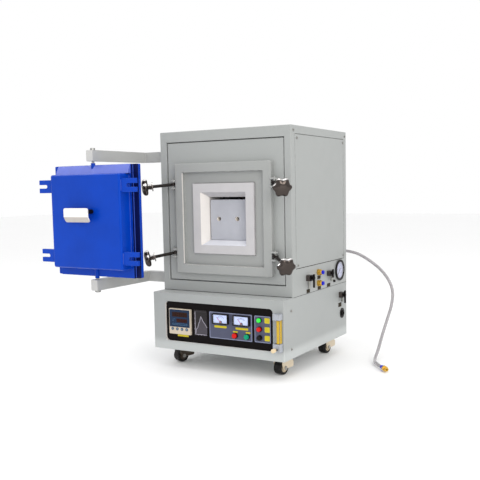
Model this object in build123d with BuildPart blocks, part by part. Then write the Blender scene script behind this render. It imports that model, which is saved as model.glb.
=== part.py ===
from build123d import *
import math
import os

os.makedirs("parts", exist_ok=True)

# ---------------------------------------------------------------- driving dimensions (mm)
# Frame: origin on the floor under the centre of the base, +Z up, front towards -Y.
W = 560.0                      # cabinet width
YB = 277.5                     # rear face
YF0 = -277.5                   # front face of the base
YF1 = -207.5                   # front face of the upper casing
Z0, Z1, Z2 = 70.0, 285.0, 886.0  # base bottom, seam, top
SHEET = 2.0
# front panel
OPX0, OPX1, OPZ0, OPZ1 = -250.0, 253.0, 324.5, 847.0
PNX0, PNX1, PNZ0, PNZ1 = -246.0, 249.0, 328.5, 843.0
YPN = -205.5                   # front of the inset front panel
YRING = -190.0                 # the ring that carries it
# furnace mouth
CX, CZ = 3.0, 561.0            # furnace axis
FLG = 410.0                    # vessel flange side
YFL = -225.5                   # flange front
REC_W, REC_H, REC_D = 346.0, 344.0, 17.0
THR_W, THR_H = 262.0, 260.0    # fibre mouth block, outside
YMB = -218.0                   # mouth block front
FUN_W, FUN_H = 194.0, 195.0    # funnel at the front
THROAT = 160.0
YTH = -183.5                   # where the funnel ends
YCH0, YCH1 = -110.0, 120.0     # chamber front and back
CHAM = 180.0
VES_O, VES_T = 376.0, 6.0      # vessel outside, wall
YV0, YV1 = -195.5, 205.0
# plug
PLUG_W, PLUG_H, PLUG_D = 153.0, 150.0, 69.0
YPL = -182.0
PLZ0 = 480.4
GRIP_R, GRIP_S, GRIP_Z = 8.5, 79.0, 559.0
# door at rest (fully open, parallel to the cabinet)
DX = -414.0
DZ = 560.0
DP_W, DP_H = 400.0, 408.0
YD0, YD1, YD2, YD3 = -412.5, -425.5, -435.5, -488.5   # plate back, plate front, mid layer front, box front
DM_W = 352.0
DB_W, DB_H = 331.0, 343.0
DI_W, DI_H = 300.0, 310.0      # opening through the plates
LUG_X, LUG_Z, LUG_H, LUG_T = 230.0, 129.0, 48.0, 12.0
LUG_Y = -480.5
SLOT = 13.0
# hinge line, elbow and door pivot
HX, HY = -298.0, -134.5
EX = -414.0
PX, PY = -414.0, -435.5
ARM_W, ARM_H = 30.0, 40.0
ARM_Z = (778.0, 304.0)         # underside of the upper arm, underside of the lower arm
PIN_R, FIT = 5.0, 0.05
# swing bolts: pivot x, z, swing and droop at rest (degrees)
BOLTS = {
    "upper_right": (220.0, 689.0, 43.0, 9.5),
    "lower_right": (220.0, 431.0, 49.4, 14.9),
    "upper_left": (-214.0, 689.0, -51.5, 5.1),
    "lower_left": (-214.0, 431.0, -50.6, 10.2),
}
YPV = -221.5
BALL_R, BALL_GAP = 8.0, 0.3
ROD_R = 6.0
# casters
WHEEL_R, WHEEL_W, TRAIL = 25.0, 32.0, 22.0
CASTERS = {                    # king pin x, y, swivel at rest (degrees)
    "front_left": (-219.0, -160.0, -22.0),
    "front_right": (219.0, -160.0, -10.0),
    "rear_left": (-219.0, 219.0, -8.0),
    "rear_right": (219.0, 219.0, -8.0),
}
# control panel on the base
CPX0, CPX1, CPZ0, CPZ1, CPR = -224.0, 236.0, 103.0, 253.0, 15.0
YCP = -271.5                   # face of the recessed panel
# vacuum hose: control points of its route, from the rear elbow to the end fitting
HOSE_D = 12.0
HOSE = [
    (226.0, 306.0, 409.0),
    (292.0, 306.0, 409.0),
    (366.0, 303.0, 376.0),
    (434.0, 298.0, 326.0),
    (474.0, 290.0, 264.0),
    (472.0, 279.0, 200.0),
    (456.0, 262.0, 136.0),
    (447.0, 232.0, 80.0),
    (448.0, 188.0, 34.0),
    (455.0, 130.0, 11.6),
    (478.0, 72.0, 11.6),
    (520.0, 30.0, 11.6),
]


def bx(x0, x1, y0, y1, z0, z1, mode=Mode.ADD):
    with Locations(((x0 + x1) / 2, (y0 + y1) / 2, (z0 + z1) / 2)):
        Box(x1 - x0, y1 - y0, z1 - z0, mode=mode)


def cyl_x(y, z, r, x0, x1, mode=Mode.ADD):
    with Locations(Location(((x0 + x1) / 2, y, z), (0, 90, 0))):
        Cylinder(r, x1 - x0, mode=mode)


def cyl_y(x, z, r, y0, y1, mode=Mode.ADD):
    with Locations(Location((x, (y0 + y1) / 2, z), (90, 0, 0))):
        Cylinder(r, y1 - y0, mode=mode)


def cyl_z(x, y, r, z0, z1, mode=Mode.ADD):
    with Locations((x, y, (z0 + z1) / 2)):
        Cylinder(r, z1 - z0, mode=mode)


def save(b, name):
    b.part.label = name
    export_step(b.part, "parts/" + name + ".step")


# ================================================================ upper casing
RPY0, RPY1, RPZ0, RPZ1 = -180.0, 249.5, 382.5, 857.5      # side cover opening
BPX0, BPX1, BPZ0, BPZ1 = -240.0, 240.0, 440.0, 850.0      # rear cover opening
with BuildPart() as upper_casing:
    bx(-W / 2, W / 2, YF1, YB, Z1, Z2)
    es = upper_casing.edges().filter_by(Axis.Z)
    fillet(es, 3.5)
    tops = upper_casing.faces().sort_by(Axis.Z)[-1].edges()
    fillet(tops, 2.0)
    bx(-W / 2 + SHEET, W / 2 - SHEET, YF1 + SHEET, YB - SHEET, Z1, Z2 - SHEET, Mode.SUBTRACT)
    # front opening, its return walls and the ring behind
    bx(OPX0, OPX1, YF1 - 1, YF1 + SHEET + 1, OPZ0, OPZ1, Mode.SUBTRACT)
    bx(OPX0 - 2, OPX1 + 2, YF1 + SHEET, YRING, OPZ0 - 2, OPZ1 + 2)
    bx(OPX0, OPX1, YF1, YRING, OPZ0, OPZ1, Mode.SUBTRACT)
    bx(OPX0 - 2, OPX1 + 2, YRING, YRING + 2, OPZ0 - 2, OPZ1 + 2)
    bx(OPX0 + 22, OPX1 - 22, YRING - 1, YRING + 3, OPZ0 + 22, OPZ1 - 22, Mode.SUBTRACT)
    # side openings with a joggled ledge
    for s in (-1, 1):
        a, b = sorted((s * (W / 2 - SHEET - 2), s * (W / 2 - SHEET)))
        bx(a, b, RPY0 - 12, RPY1 + 12, RPZ0 - 12, RPZ1 + 12)
        a, b = sorted((s * (W / 2 - SHEET), s * (W / 2 + 1)))
        bx(a, b, RPY0, RPY1, RPZ0, RPZ1, Mode.SUBTRACT)
        a, b = sorted((s * (W / 2 - SHEET - 3), s * (W / 2)))
        bx(a, b, RPY0 + 15, RPY1 - 15, RPZ0 + 15, RPZ1 - 15, Mode.SUBTRACT)
    # rear opening
    bx(BPX0 - 12, BPX1 + 12, YB - SHEET - 2, YB - SHEET, BPZ0 - 12, BPZ1 + 12)
    bx(BPX0, BPX1, YB - SHEET, YB + 1, BPZ0, BPZ1, Mode.SUBTRACT)
    bx(BPX0 + 15, BPX1 - 15, YB - SHEET - 3, YB, BPZ0 + 15, BPZ1 - 15, Mode.SUBTRACT)
save(upper_casing, "upper_casing")

with BuildPart() as casing_panels:
    g = 2.5
    for s in (-1, 1):
        a, b = sorted((s * (W / 2 - SHEET), s * W / 2))
        bx(a, b, RPY0 + g, RPY1 - g, RPZ0 + g, RPZ1 - g)
    bx(BPX0 + g, BPX1 - g, YB - SHEET, YB, BPZ0 + g, BPZ1 - g)
save(casing_panels, "casing_panels")

# ================================================================ front panel (folded sheet)
STG = FLG - 14                 # inner stage of the flange, behind the panel
with BuildPart() as front_panel:
    bx(PNX0, PNX1, YPN, YRING, PNZ0, PNZ1)
    fillet(front_panel.edges().filter_by(Axis.Y), 3.0)
    fillet(front_panel.faces().sort_by(Axis.Y)[0].edges(), 1.2)
    bx(PNX0 + 2, PNX1 - 2, YPN + 2, YRING + 1, PNZ0 + 2, PNZ1 - 2, Mode.SUBTRACT)
    bx(CX - STG / 2 - 1, CX + STG / 2 + 1, YPN - 1, YPN + 3, CZ - STG / 2 - 1, CZ + STG / 2 + 1, Mode.SUBTRACT)
save(front_panel, "front_panel")

# ================================================================ vessel flange with the bolt clevises
with BuildPart() as door_frame:
    bx(CX - FLG / 2, CX + FLG / 2, YFL, YPN, CZ - FLG / 2, CZ + FLG / 2)
    fillet(door_frame.edges().filter_by(Axis.Y), 6.0)
    fillet(door_frame.faces().sort_by(Axis.Y)[0].edges(), 2.5)
    bx(CX - STG / 2, CX + STG / 2, YPN, YV0, CZ - STG / 2, CZ + STG / 2)
    with BuildSketch(Plane.XZ.offset(-(YFL + REC_D))) as rec:
        with Locations((CX, CZ)):
            RectangleRounded(REC_W, REC_H, 4)
    extrude(amount=REC_D + 5, mode=Mode.SUBTRACT)
    bx(CX - THR_W / 2 - 1, CX + THR_W / 2 + 1, YFL, YV0 + 1, CZ - THR_H / 2 - 1, CZ + THR_H / 2 + 1, Mode.SUBTRACT)
    for bxn, (px, pz, al, de) in BOLTS.items():
        s = 1 if px > 0 else -1
        edge = CX + s * FLG / 2
        for dz in (-17.0, 11.0):
            with BuildSketch(Plane.XY.offset(pz + dz)):
                with Locations(((edge + px) / 2, YPV)):
                    Rectangle(abs(px - edge), 20)
                with Locations((px, YPV)):
                    Circle(10)
            extrude(amount=6)
        cyl_z(px, YPV, 4.0, pz - 20, pz + 20)
        with Locations((px, YPV, pz)):
            Sphere(BALL_R)
save(door_frame, "door_frame")

# ================================================================ fibre mouth block
with BuildPart() as mouth_block:
    bx(CX - THR_W / 2, CX + THR_W / 2, YMB, YCH0, CZ - THR_H / 2, CZ + THR_H / 2)
    fillet(mouth_block.faces().sort_by(Axis.Y)[0].edges(), 2.0)
    bx(CX - THROAT / 2, CX + THROAT / 2, YMB - 1, YCH0 + 1, CZ - THROAT / 2 - 1, CZ + THROAT / 2 - 1, Mode.SUBTRACT)
    with BuildSketch(Plane.XZ.offset(-(YTH))):
        with Locations((CX, CZ - 1)):
            Rectangle(THROAT, THROAT)
    with BuildSketch(Plane.XZ.offset(-YMB)):
        with Locations((CX, CZ - 0.5)):
            RectangleRounded(FUN_W, FUN_H, 5)
    loft(mode=Mode.SUBTRACT)
    bx(CX - THROAT / 2 - 8, CX + THROAT / 2 + 8, YMB - 5, YMB, CZ - 60, CZ + 60, Mode.SUBTRACT)
save(mouth_block, "mouth_block")

# ================================================================ vessel
ELEMENTS = [(CX + sx * 79.0, y) for sx in (-1, 1) for y in (-62.0, 58.0)]
TC_Z = 600.0
with BuildPart() as vessel:
    bx(CX - VES_O / 2, CX + VES_O / 2, YV0, YV1, CZ - VES_O / 2, CZ + VES_O / 2)
    bx(CX - VES_O / 2 + VES_T, CX + VES_O / 2 - VES_T, YV0 - 1, YV1 - VES_T, CZ - VES_O / 2 + VES_T, CZ + VES_O / 2 - VES_T, Mode.SUBTRACT)
    for sx in (-1, 1):
        for y in (-140.0, 150.0):
            bx(CX + sx * 150 - 15, CX + sx * 150 + 15, y - 15, y + 15, Z1, CZ - VES_O / 2)
    for ex, ey in ELEMENTS:
        for dy in (-20, 20):
            cyl_z(ex, ey + dy, 6.0, CZ + VES_O / 2 - 10, CZ + VES_O / 2 + 1, Mode.SUBTRACT)
    cyl_y(CX, TC_Z, 5.0, YV1 - 10, YV1 + 1, Mode.SUBTRACT)
save(vessel, "vessel")

# ================================================================ insulation lining
IN_O = VES_O - 2 * VES_T
IY0, IY1 = YV0 + 1, YV1 - VES_T
GB = 0.4                       # joint between two boards
with BuildPart() as insulation:
    hx, hz, ch = THR_W / 2, THR_H / 2, CHAM / 2
    bx(CX - IN_O / 2 + 1, CX + IN_O / 2 - 1, IY0, IY1, CZ - IN_O / 2, CZ - hz - GB)
    bx(CX - IN_O / 2 + 1, CX + IN_O / 2 - 1, IY0, IY1, CZ + hz + GB, CZ + IN_O / 2 - 1)
    for s in (-1, 1):
        a, b = sorted((CX + s * (hx + GB), CX + s * (IN_O / 2 - 1)))
        bx(a, b, IY0, IY1, CZ - hz, CZ + hz)
        a, b = sorted((CX + s * ch, CX + s * hx))
        bx(a, b, YCH0 + GB, YCH1 - GB, CZ - hz, CZ + hz)
    # hearth and roof boards lie between the side boards, so the whole hearth is open from above
    bx(CX - ch + GB, CX + ch - GB, YCH0 + GB, YCH1 - GB, CZ - hz, CZ - ch)
    bx(CX - ch + GB, CX + ch - GB, YCH0 + GB, YCH1 - GB, CZ + ch, CZ + hz)
    bx(CX - hx, CX + hx, YCH1, IY1, CZ - hz, CZ + hz)
    for ex, ey in ELEMENTS:
        for dy in (-20, 20):
            cyl_z(ex, ey + dy, 4.5, CZ + ch - 1, CZ + IN_O / 2 + 1, Mode.SUBTRACT)
    cyl_y(CX, TC_Z, 5.0, YCH1 - 1, YV1, Mode.SUBTRACT)
save(insulation, "insulation")

# ================================================================ heating elements (U rods in ceramic holders)
with BuildPart() as heating_elements:
    for ex, ey in ELEMENTS:
        with BuildLine() as uline:
            l1 = Line((ex, ey - 20, 790), (ex, ey - 20, 510))
            ThreePointArc((ex, ey - 20, 510), (ex, ey, 490), (ex, ey + 20, 510))
            Line((ex, ey + 20, 510), (ex, ey + 20, 790))
        with BuildSketch(Plane(origin=(ex, ey - 20, 790), z_dir=(0, 0, -1))):
            Circle(3.0)
        sweep(path=uline.wires()[0])
        bx(ex - 14, ex + 14, ey - 36, ey + 36, CZ + VES_O / 2, CZ + VES_O / 2 + 14)
save(heating_elements, "heating_elements")

with BuildPart() as thermocouple:
    cyl_y(CX, TC_Z, 4.0, 85.0, YV1 + 5)
    cyl_y(CX, TC_Z, 14.0, YV1, YV1 + 8)
    cyl_y(CX, TC_Z, 19.0, YV1 + 8, YV1 + 34)
save(thermocouple, "thermocouple")

# ================================================================ furnace plug with two grip holes
with BuildPart() as furnace_plug:
    bx(CX - PLUG_W / 2, CX + PLUG_W / 2, YPL, YPL + PLUG_D, PLZ0, PLZ0 + PLUG_H)
    fillet(furnace_plug.faces().sort_by(Axis.Y)[0].edges(), 2.0)
    for s in (-1, 1):
        cyl_y(CX + s * GRIP_S / 2, GRIP_Z, GRIP_R, YPL - 1, YPL + 42, Mode.SUBTRACT)
save(furnace_plug, "furnace_plug")

# ================================================================ base casing
with BuildPart() as base_casing:
    bx(-W / 2, W / 2, YF0, YB, Z0, Z1)
    fillet(base_casing.edges().filter_by(Axis.Z), 3.5)
    fillet(base_casing.faces().sort_by(Axis.Z)[-1].edges(), 2.0)
    bx(-W / 2 + SHEET, W / 2 - SHEET, YF0 + SHEET, YB - SHEET, Z0 + SHEET, Z1 - SHEET, Mode.SUBTRACT)
    cpx, cpz = (CPX0 + CPX1) / 2, (CPZ0 + CPZ1) / 2
    cpw, cph = CPX1 - CPX0, CPZ1 - CPZ0
    with BuildSketch(Plane.XZ.offset(-YCP)):
        with Locations((cpx, cpz)):
            RectangleRounded(cpw + 12, cph + 12, CPR + 6)
    extrude(amount=YCP - YF0 - SHEET)
    with BuildSketch(Plane.XZ.offset(-YCP)):
        with Locations((cpx, cpz)):
            RectangleRounded(cpw, cph, CPR)
    extrude(amount=YCP - YF0 + 2, mode=Mode.SUBTRACT)
# swivel seats and king pins of the casters, under the floor sheet
with BuildPart() as caster_seats:
    for cn, (cx, cy, sw) in CASTERS.items():
        cyl_z(cx, cy, 16.0, 64.0, Z0)
        cyl_z(cx, cy, PIN_R, 52.5, 65.0)
base = Compound(label="base_casing", children=list(base_casing.part.solids()) + list(caster_seats.part.solids()))
export_step(base, "parts/base_casing.step")

# ================================================================ control panel and what is on it
CTX0, CTX1, CTZ0, CTZ1 = -206.0, -109.0, 131.0, 227.0
AMM = (21.2, 202.5)            # ammeter centre
VLT = (108.8, 202.3)           # voltmeter centre
MT_W, MT_H = 67.0, 37.0
BTN = {                        # push buttons: x, z, cap radius
    "stop_button": (80.5, 146.3, 9.0),
    "start_button": (130.3, 146.3, 9.0),
    "power_on_button": (181.3, 177.8, 8.2),
    "power_off_button": (181.6, 147.2, 8.2),
}
LAMP = (180.4, 209.6)
with BuildPart() as control_panel:
    with BuildSketch(Plane.XZ.offset(-(YCP + 3))):
        with Locations((cpx, cpz)):
            RectangleRounded(cpw + 12, cph + 12, CPR + 6)
    extrude(amount=3)
    bx(CTX0 + 3, CTX1 - 3, YCP - 1, YCP + 4, CTZ0 + 3, CTZ1 - 3, Mode.SUBTRACT)
    for mx, mz in (AMM, VLT):
        cyl_y(mx, mz, 16.3, YCP - 1, YCP + 4, Mode.SUBTRACT)
    for bn, (px, pz, r) in BTN.items():
        cyl_y(px, pz, 3.3, YCP - 1, YCP + 4, Mode.SUBTRACT)
save(control_panel, "control_panel")

TAGS = [                       # blank tags on the right-hand side: y0, y1, z0, z1
    (-97.5, -71.0, 287.0, 300.0),
    (-4.0, 23.0, 327.0, 339.5),
    (-2.0, 25.0, 287.0, 299.0),
    (84.0, 112.0, 287.0, 299.5),
    (192.5, 221.0, 191.0, 207.0),
]
with BuildPart() as instrument_plates:
    bx(-30, 150.5, YCP - 1.5, YCP, 128.5, 226.5)
    bx(159.5, 225, YCP - 1.5, YCP, 129.5, 225.5)
    bx(-98, -42, YCP - 1.5, YCP, 131.5, 227)
    fillet(instrument_plates.edges().filter_by(Axis.Y), 2.0)
    for mx, mz in (AMM, VLT):
        cyl_y(mx, mz, 16.3, YCP - 3, YCP + 1, Mode.SUBTRACT)
    for bn, (px, pz, r) in BTN.items():
        cyl_y(px, pz, 3.3, YCP - 3, YCP + 1, Mode.SUBTRACT)
    for y0, y1, z0, z1 in TAGS:
        bx(W / 2, W / 2 + 1.0, y0, y1, z0, z1)
save(instrument_plates, "instrument_plates")

with BuildPart() as controller:
    bx(CTX0, CTX1, YCP - 10, YCP, CTZ0, CTZ1)
    fillet(controller.edges().filter_by(Axis.Y), 3.0)
    fillet(controller.faces().sort_by(Axis.Y)[0].edges(), 2.0)
    bx(CTX0 + 5, CTX1 - 5, YCP, YCP + 75, CTZ0 + 5, CTZ1 - 5)
    bx(CTX0 + 6, CTX1 - 5, YCP - 11, YCP - 8, CTZ0 + 29, CTZ1 - 5, Mode.SUBTRACT)
    for k in range(4):
        cyl_y(CTX0 + 16.5 + k * 21.3, CTZ0 + 20, 5.5, YCP - 11.5, YCP - 9.0)
save(controller, "controller")

# meters: dial recess 7 deep, pivot stub in it, window in front
GY, GZ, GR = 201.0, 340.0, 41.5    # pressure gauge centre and radius
YMT = YCP - 1.5 - 11               # meter front
with BuildPart() as instrument_cases:
    for mx, mz in (AMM, VLT):
        bx(mx - MT_W / 2, mx + MT_W / 2, YMT, YCP - 1.5, mz - MT_H / 2, mz + MT_H / 2)
    fillet(instrument_cases.edges().filter_by(Axis.Y), 2.5)
    for mx, mz in (AMM, VLT):
        bx(mx - MT_W / 2 + 3, mx + MT_W / 2 - 3, YMT - 1, YMT + 7, mz - MT_H / 2 + 3, mz + MT_H / 2 - 3, Mode.SUBTRACT)
        cyl_y(mx, mz, 16.0, YCP - 1.5, YCP + 40)
        cyl_y(mx, mz - 12.0, 1.0, YMT + 4, YMT + 8)
    cyl_x(GY, GZ, GR - 4.5, W / 2, W / 2 + 4)
    cyl_x(GY, GZ, GR, W / 2 + 3.5, W / 2 + 6.5)
    cyl_x(GY, GZ, GR - 8.5, W / 2 + 2, W / 2 + 7, Mode.SUBTRACT)
    cyl_x(GY, GZ, 1.5, W / 2 + 1, W / 2 + 4.1)
    for bn, (px, pz, r) in BTN.items():
        cyl_y(px, pz, r + 1.6, YCP - 1.5 - 4, YCP - 1.5)
        cyl_y(px, pz, r + 0.4, YCP - 8, YCP - 1.5, Mode.SUBTRACT)
save(instrument_cases, "instrument_cases")

# flowmeter: clear body between two blocks, on the front of the base
FX0, FX1, FZ0, FZ1 = 246.5, 275.3, 107.0, 240.5
FKZ = FZ0 + 11.0
FYF = YF0 - 23.0
FCX = (FX0 + FX1) / 2
with BuildPart() as flowmeter_body:
    bx(FX0, FX1, FYF, YF0, FZ0, FZ0 + 29)
    bx(FX0, FX1, FYF, YF0, FZ1 - 21, FZ1)
    fillet(flowmeter_body.edges().filter_by(Axis.Z), 2.0)
    cyl_y(FCX, FKZ, 5.5, FYF - 9, FYF)
    cyl_y(FCX, FKZ, 3.05, FYF - 10, FYF + 12, Mode.SUBTRACT)
save(flowmeter_body, "flowmeter_body")

with BuildPart() as instrument_windows:
    for mx, mz in (AMM, VLT):
        bx(mx - MT_W / 2 + 3, mx + MT_W / 2 - 3, YMT + 0.5, YMT + 2.0, mz - MT_H / 2 + 3, mz + MT_H / 2 - 3)
    cyl_x(GY, GZ, GR - 8.5, W / 2 + 4.8, W / 2 + 5.8)
    bx(FX0 + 2, FX1 - 2, FYF + 1, YF0, FZ0 + 29, FZ1 - 21)
    cyl_z(FCX, (FYF + YF0) / 2, 3.8, FZ0 + 29, FZ1 - 21, Mode.SUBTRACT)
save(instrument_windows, "instrument_windows")

with BuildPart() as flowmeter_float:
    cyl_z(FCX, (FYF + YF0) / 2, 3.4, FZ0 + 30, FZ0 + 36)
    with Locations((FCX, (FYF + YF0) / 2, FZ0 + 38.0)):
        Cone(3.4, 1.2, 4.0)
save(flowmeter_float, "flowmeter_float")

with BuildPart() as flowmeter_knob:
    cyl_y(FCX, FKZ, 3.0, FYF - 16, FYF + 11)
    cyl_y(FCX, FKZ, 7.4, FYF - 27, FYF - 14)
    fillet(flowmeter_knob.edges().filter_by(GeomType.CIRCLE).sort_by(Axis.Y)[0], 1.5)
    for k in range(8):
        a = math.radians(45 * k + 22.5)
        cyl_y(FCX + 8.1 * math.cos(a), FKZ + 8.1 * math.sin(a), 1.3, FYF - 28, FYF - 15, Mode.SUBTRACT)
save(flowmeter_knob, "flowmeter_knob")


def needle(name, x, y0, z, length, angle, hole):
    """A pointer in the XZ plane: angle from +Z towards -X, its back at y0."""
    with BuildPart() as nd:
        with BuildSketch(Plane.XZ.offset(-y0)):
            with Locations((x, z)):
                Circle(2.6)
            ca, sa = math.cos(math.radians(angle)), math.sin(math.radians(angle))
            tip = (x - sa * length, z + ca * length)
            b0 = (x + ca * 1.1, z + sa * 1.1)
            b1 = (x - ca * 1.1, z - sa * 1.1)
            t0 = (tip[0] + ca * 0.4, tip[1] + sa * 0.4)
            t1 = (tip[0] - ca * 0.4, tip[1] - sa * 0.4)
            with BuildLine():
                Polyline(b0, t0, t1, b1, close=True)
            make_face()
            with Locations((x, z)):
                Circle(hole, mode=Mode.SUBTRACT)
        extrude(amount=0.9)
    save(nd, name)
    return nd


needle("ammeter_needle", AMM[0], YMT + 5.6, AMM[1] - 12.0, 24.0, 42.0, 1.05)
needle("voltmeter_needle", VLT[0], YMT + 5.6, VLT[1] - 12.0, 24.0, 42.0, 1.05)

with BuildPart() as gauge_needle:
    with BuildSketch(Plane.YZ.offset(W / 2 + 2.7)):
        with Locations((GY, GZ)):
            Circle(4.0)
        # zero of the scale, lower left seen from outside, where +Y runs to the right
        d = (-math.sin(math.radians(135)), math.cos(math.radians(135)))
        n = (-d[1], d[0])
        with BuildLine():
            Polyline(
                (GY - d[0] * 9 + n[0] * 1.3, GZ - d[1] * 9 + n[1] * 1.3),
                (GY + d[0] * 29 + n[0] * 0.5, GZ + d[1] * 29 + n[1] * 0.5),
                (GY + d[0] * 29 - n[0] * 0.5, GZ + d[1] * 29 - n[1] * 0.5),
                (GY - d[0] * 9 - n[0] * 1.3, GZ - d[1] * 9 - n[1] * 1.3),
                close=True,
            )
        make_face()
        with Locations((GY, GZ)):
            Circle(1.55, mode=Mode.SUBTRACT)
    extrude(amount=1.2)
save(gauge_needle, "gauge_needle")

with BuildPart() as indicator_lamp:
    cyl_y(LAMP[0], LAMP[1], 9.6, YCP - 5.0, YCP - 1.5)
    cyl_y(LAMP[0], LAMP[1], 8.2, YCP - 13.0, YCP - 5.0)
    fillet(indicator_lamp.edges().filter_by(GeomType.CIRCLE).sort_by(Axis.Y)[0], 4.0)
save(indicator_lamp, "indicator_lamp")

for bn, (px, pz, r) in BTN.items():
    with BuildPart() as button:
        cyl_y(px, pz, r, YCP - 13.5, YCP - 5.5)
        fillet(button.edges().filter_by(GeomType.CIRCLE).sort_by(Axis.Y)[0], 1.5)
        cyl_y(px, pz, 3.0, YCP - 6.0, YCP + 18.0)
    save(button, bn)

# ================================================================ valves and fittings on the right-hand side
# valve: pivot y, z, body y0..y1, z0..z1, lever bottom and top
VALVES = {
    "argon_valve_lever": (-81.0, 342.0, -102.0, -72.0, 331.0, 353.0, 306.0, 356.0),
    "exhaust_valve_lever": (90.0, 341.0, 82.0, 119.0, 329.0, 349.0, 323.0, 356.0),
    "drain_valve_lever": (208.0, 240.0, 196.0, 222.0, 229.0, 251.0, 207.0, 258.0),
}
with BuildPart() as valve_bodies:
    for vn, (py, pz, y0, y1, z0, z1, lz0, lz1) in VALVES.items():
        bx(W / 2, W / 2 + 15, y0, y1, z0, z1)
    fillet(valve_bodies.edges().filter_by(Axis.X), 4.0)
    for vn, (py, pz, y0, y1, z0, z1, lz0, lz1) in VALVES.items():
        cyl_x(py, pz, 6.0, W / 2 + 14, W / 2 + 19)
        cyl_x(py, pz, 3.0, W / 2 + 18, W / 2 + 27)
    # barbs
    cyl_z(W / 2 + 8, -92.0, 3.5, 303.0, 333.0)
    cyl_z(W / 2 + 8, -92.0, 2.0, 302.0, 325.0, Mode.SUBTRACT)
    cyl_z(W / 2 + 8, 112.0, 4.5, 308.0, 331.0)
    cyl_z(W / 2 + 8, 112.0, 2.5, 307.0, 326.0, Mode.SUBTRACT)
    cyl_z(W / 2 + 8, 214.0, 4.5, 212.0, 231.0)
    cyl_z(W / 2 + 8, 214.0, 2.5, 211.0, 228.0, Mode.SUBTRACT)
    # blanked port
    cyl_x(146.0, 303.0, 5.0, W / 2, W / 2 + 7)
save(valve_bodies, "valve_bodies")

for vn, (py, pz, y0, y1, z0, z1, lz0, lz1) in VALVES.items():
    with BuildPart() as lever:
        with BuildSketch(Plane.YZ.offset(W / 2 + 20)):
            with Locations((py, (lz0 + lz1) / 2)):
                RectangleRounded(9.0, lz1 - lz0, 4.2)
            with Locations((py, pz)):
                Circle(6.5)
                Circle(3.05, mode=Mode.SUBTRACT)
        extrude(amount=5.0)
    save(lever, vn)

FIT_Y = 1.5
FIT_Z = (353.5, 312.5)
with BuildPart() as gas_fittings:
    for fz in FIT_Z:
        with BuildSketch(Plane.YZ.offset(W / 2)):
            with Locations((FIT_Y, fz)):
                RegularPolygon(12.5, 6)
        extrude(amount=8)
        cyl_x(FIT_Y, fz, 8.2, W / 2 + 8, W / 2 + 13)
        cyl_x(FIT_Y, fz, 7.6, W / 2 + 13, W / 2 + 24)
    # rear elbow of the vacuum line
    hx0, hy0, hz0 = HOSE[0]
    cyl_y(hx0 - 31, hz0, 14.0, YB, YB + 8)
    cyl_y(hx0 - 31, hz0, 9.0, YB + 8, hy0 + 9)
    cyl_x(hy0, hz0, 9.0, hx0 - 31 - 9, hx0 - 14)
    cyl_x(hy0, hz0, 7.5, hx0 - 14, hx0)
    for fz in FIT_Z:
        cyl_x(FIT_Y, fz, 4.0, W / 2 + 4, W / 2 + 25, Mode.SUBTRACT)
save(gas_fittings, "gas_fittings")

with BuildPart() as cable_gland:
    cyl_x(227.5, 162.5, 20.0, W / 2, W / 2 + 2.5)
    cyl_x(227.5, 162.5, 11.0, W / 2 + 2.5, W / 2 + 7)
    fillet(cable_gland.edges().filter_by(GeomType.CIRCLE).sort_by(Axis.X)[-1], 1.5)
    cyl_x(227.5, 162.5, 7.0, W / 2 + 1, W / 2 + 8, Mode.SUBTRACT)
save(cable_gland, "cable_gland")

# ================================================================ hinge brackets on the left-hand side
with BuildPart() as hinge_brackets:
    for az in ARM_Z:
        for up in (True, False):
            z0 = az + ARM_H + 0.3 if up else az - 6.3
            with BuildSketch(Plane.XY.offset(z0)):
                with Locations(((HX - W / 2) / 2, HY)):
                    Rectangle(abs(HX + W / 2), 40)
                with Locations((HX, HY)):
                    RectangleRounded(30, 40, 9)
            extrude(amount=6)
            f0, f1 = (z0, z0 + 40) if up else (z0 + 6 - 36, z0 + 6)
            bx(-W / 2 - 5, -W / 2, HY - 20, HY + 20, f0, f1)
        cyl_z(HX, HY, PIN_R, az - 9, az + ARM_H + 9)
        cyl_z(HX, HY, 8.0, az + ARM_H + 6.3, az + ARM_H + 10)
        cyl_z(HX, HY, 8.0, az - 10, az - 6.3)
    # clear the arms' own sweep: nothing between the ears but the pin
save(hinge_brackets, "hinge_brackets")

# ================================================================ arms: two bent rectangular tubes with their pivot pins
with BuildPart() as door_arms:
    for k, az in enumerate(ARM_Z):
        with BuildSketch(Plane.XY.offset(az)):
            with BuildLine():
                FilletPolyline((HX, HY), (EX, HY), (EX, PY - 18), radius=17)
            trace(line_width=ARM_W)
            with Locations((HX, HY)):
                Circle(ARM_W / 2)
        extrude(amount=ARM_H)
    fillet(door_arms.edges().filter_by(Axis.Z).sort_by(Axis.Y)[0:4], 3.0)
    for az in ARM_Z:
        cyl_z(HX, HY, PIN_R + FIT, az - 1, az + ARM_H + 1, Mode.SUBTRACT)
        cyl_z(PX, PY, PIN_R + FIT, az - 1, az + ARM_H + 1, Mode.SUBTRACT)
with BuildPart() as arm_pins:
    cyl_z(PX, PY, PIN_R, 736.0, ARM_Z[0] + ARM_H + 1)
    cyl_z(PX, PY, 9.0, ARM_Z[0] + ARM_H, ARM_Z[0] + ARM_H + 8)
    cyl_z(PX, PY, PIN_R, ARM_Z[1] - 1, 384.0)
    cyl_z(PX, PY, 11.0, ARM_Z[1] - 8, ARM_Z[1])
    fillet(arm_pins.edges().filter_by(GeomType.CIRCLE).sort_by(Axis.Z)[0], 4.0)
    fillet(arm_pins.edges().filter_by(GeomType.CIRCLE).sort_by(Axis.Z)[-1], 1.5)
arms = Compound(label="door_arms", children=list(door_arms.part.solids()) + list(arm_pins.part.solids()))
export_step(arms, "parts/door_arms.step")

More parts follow.
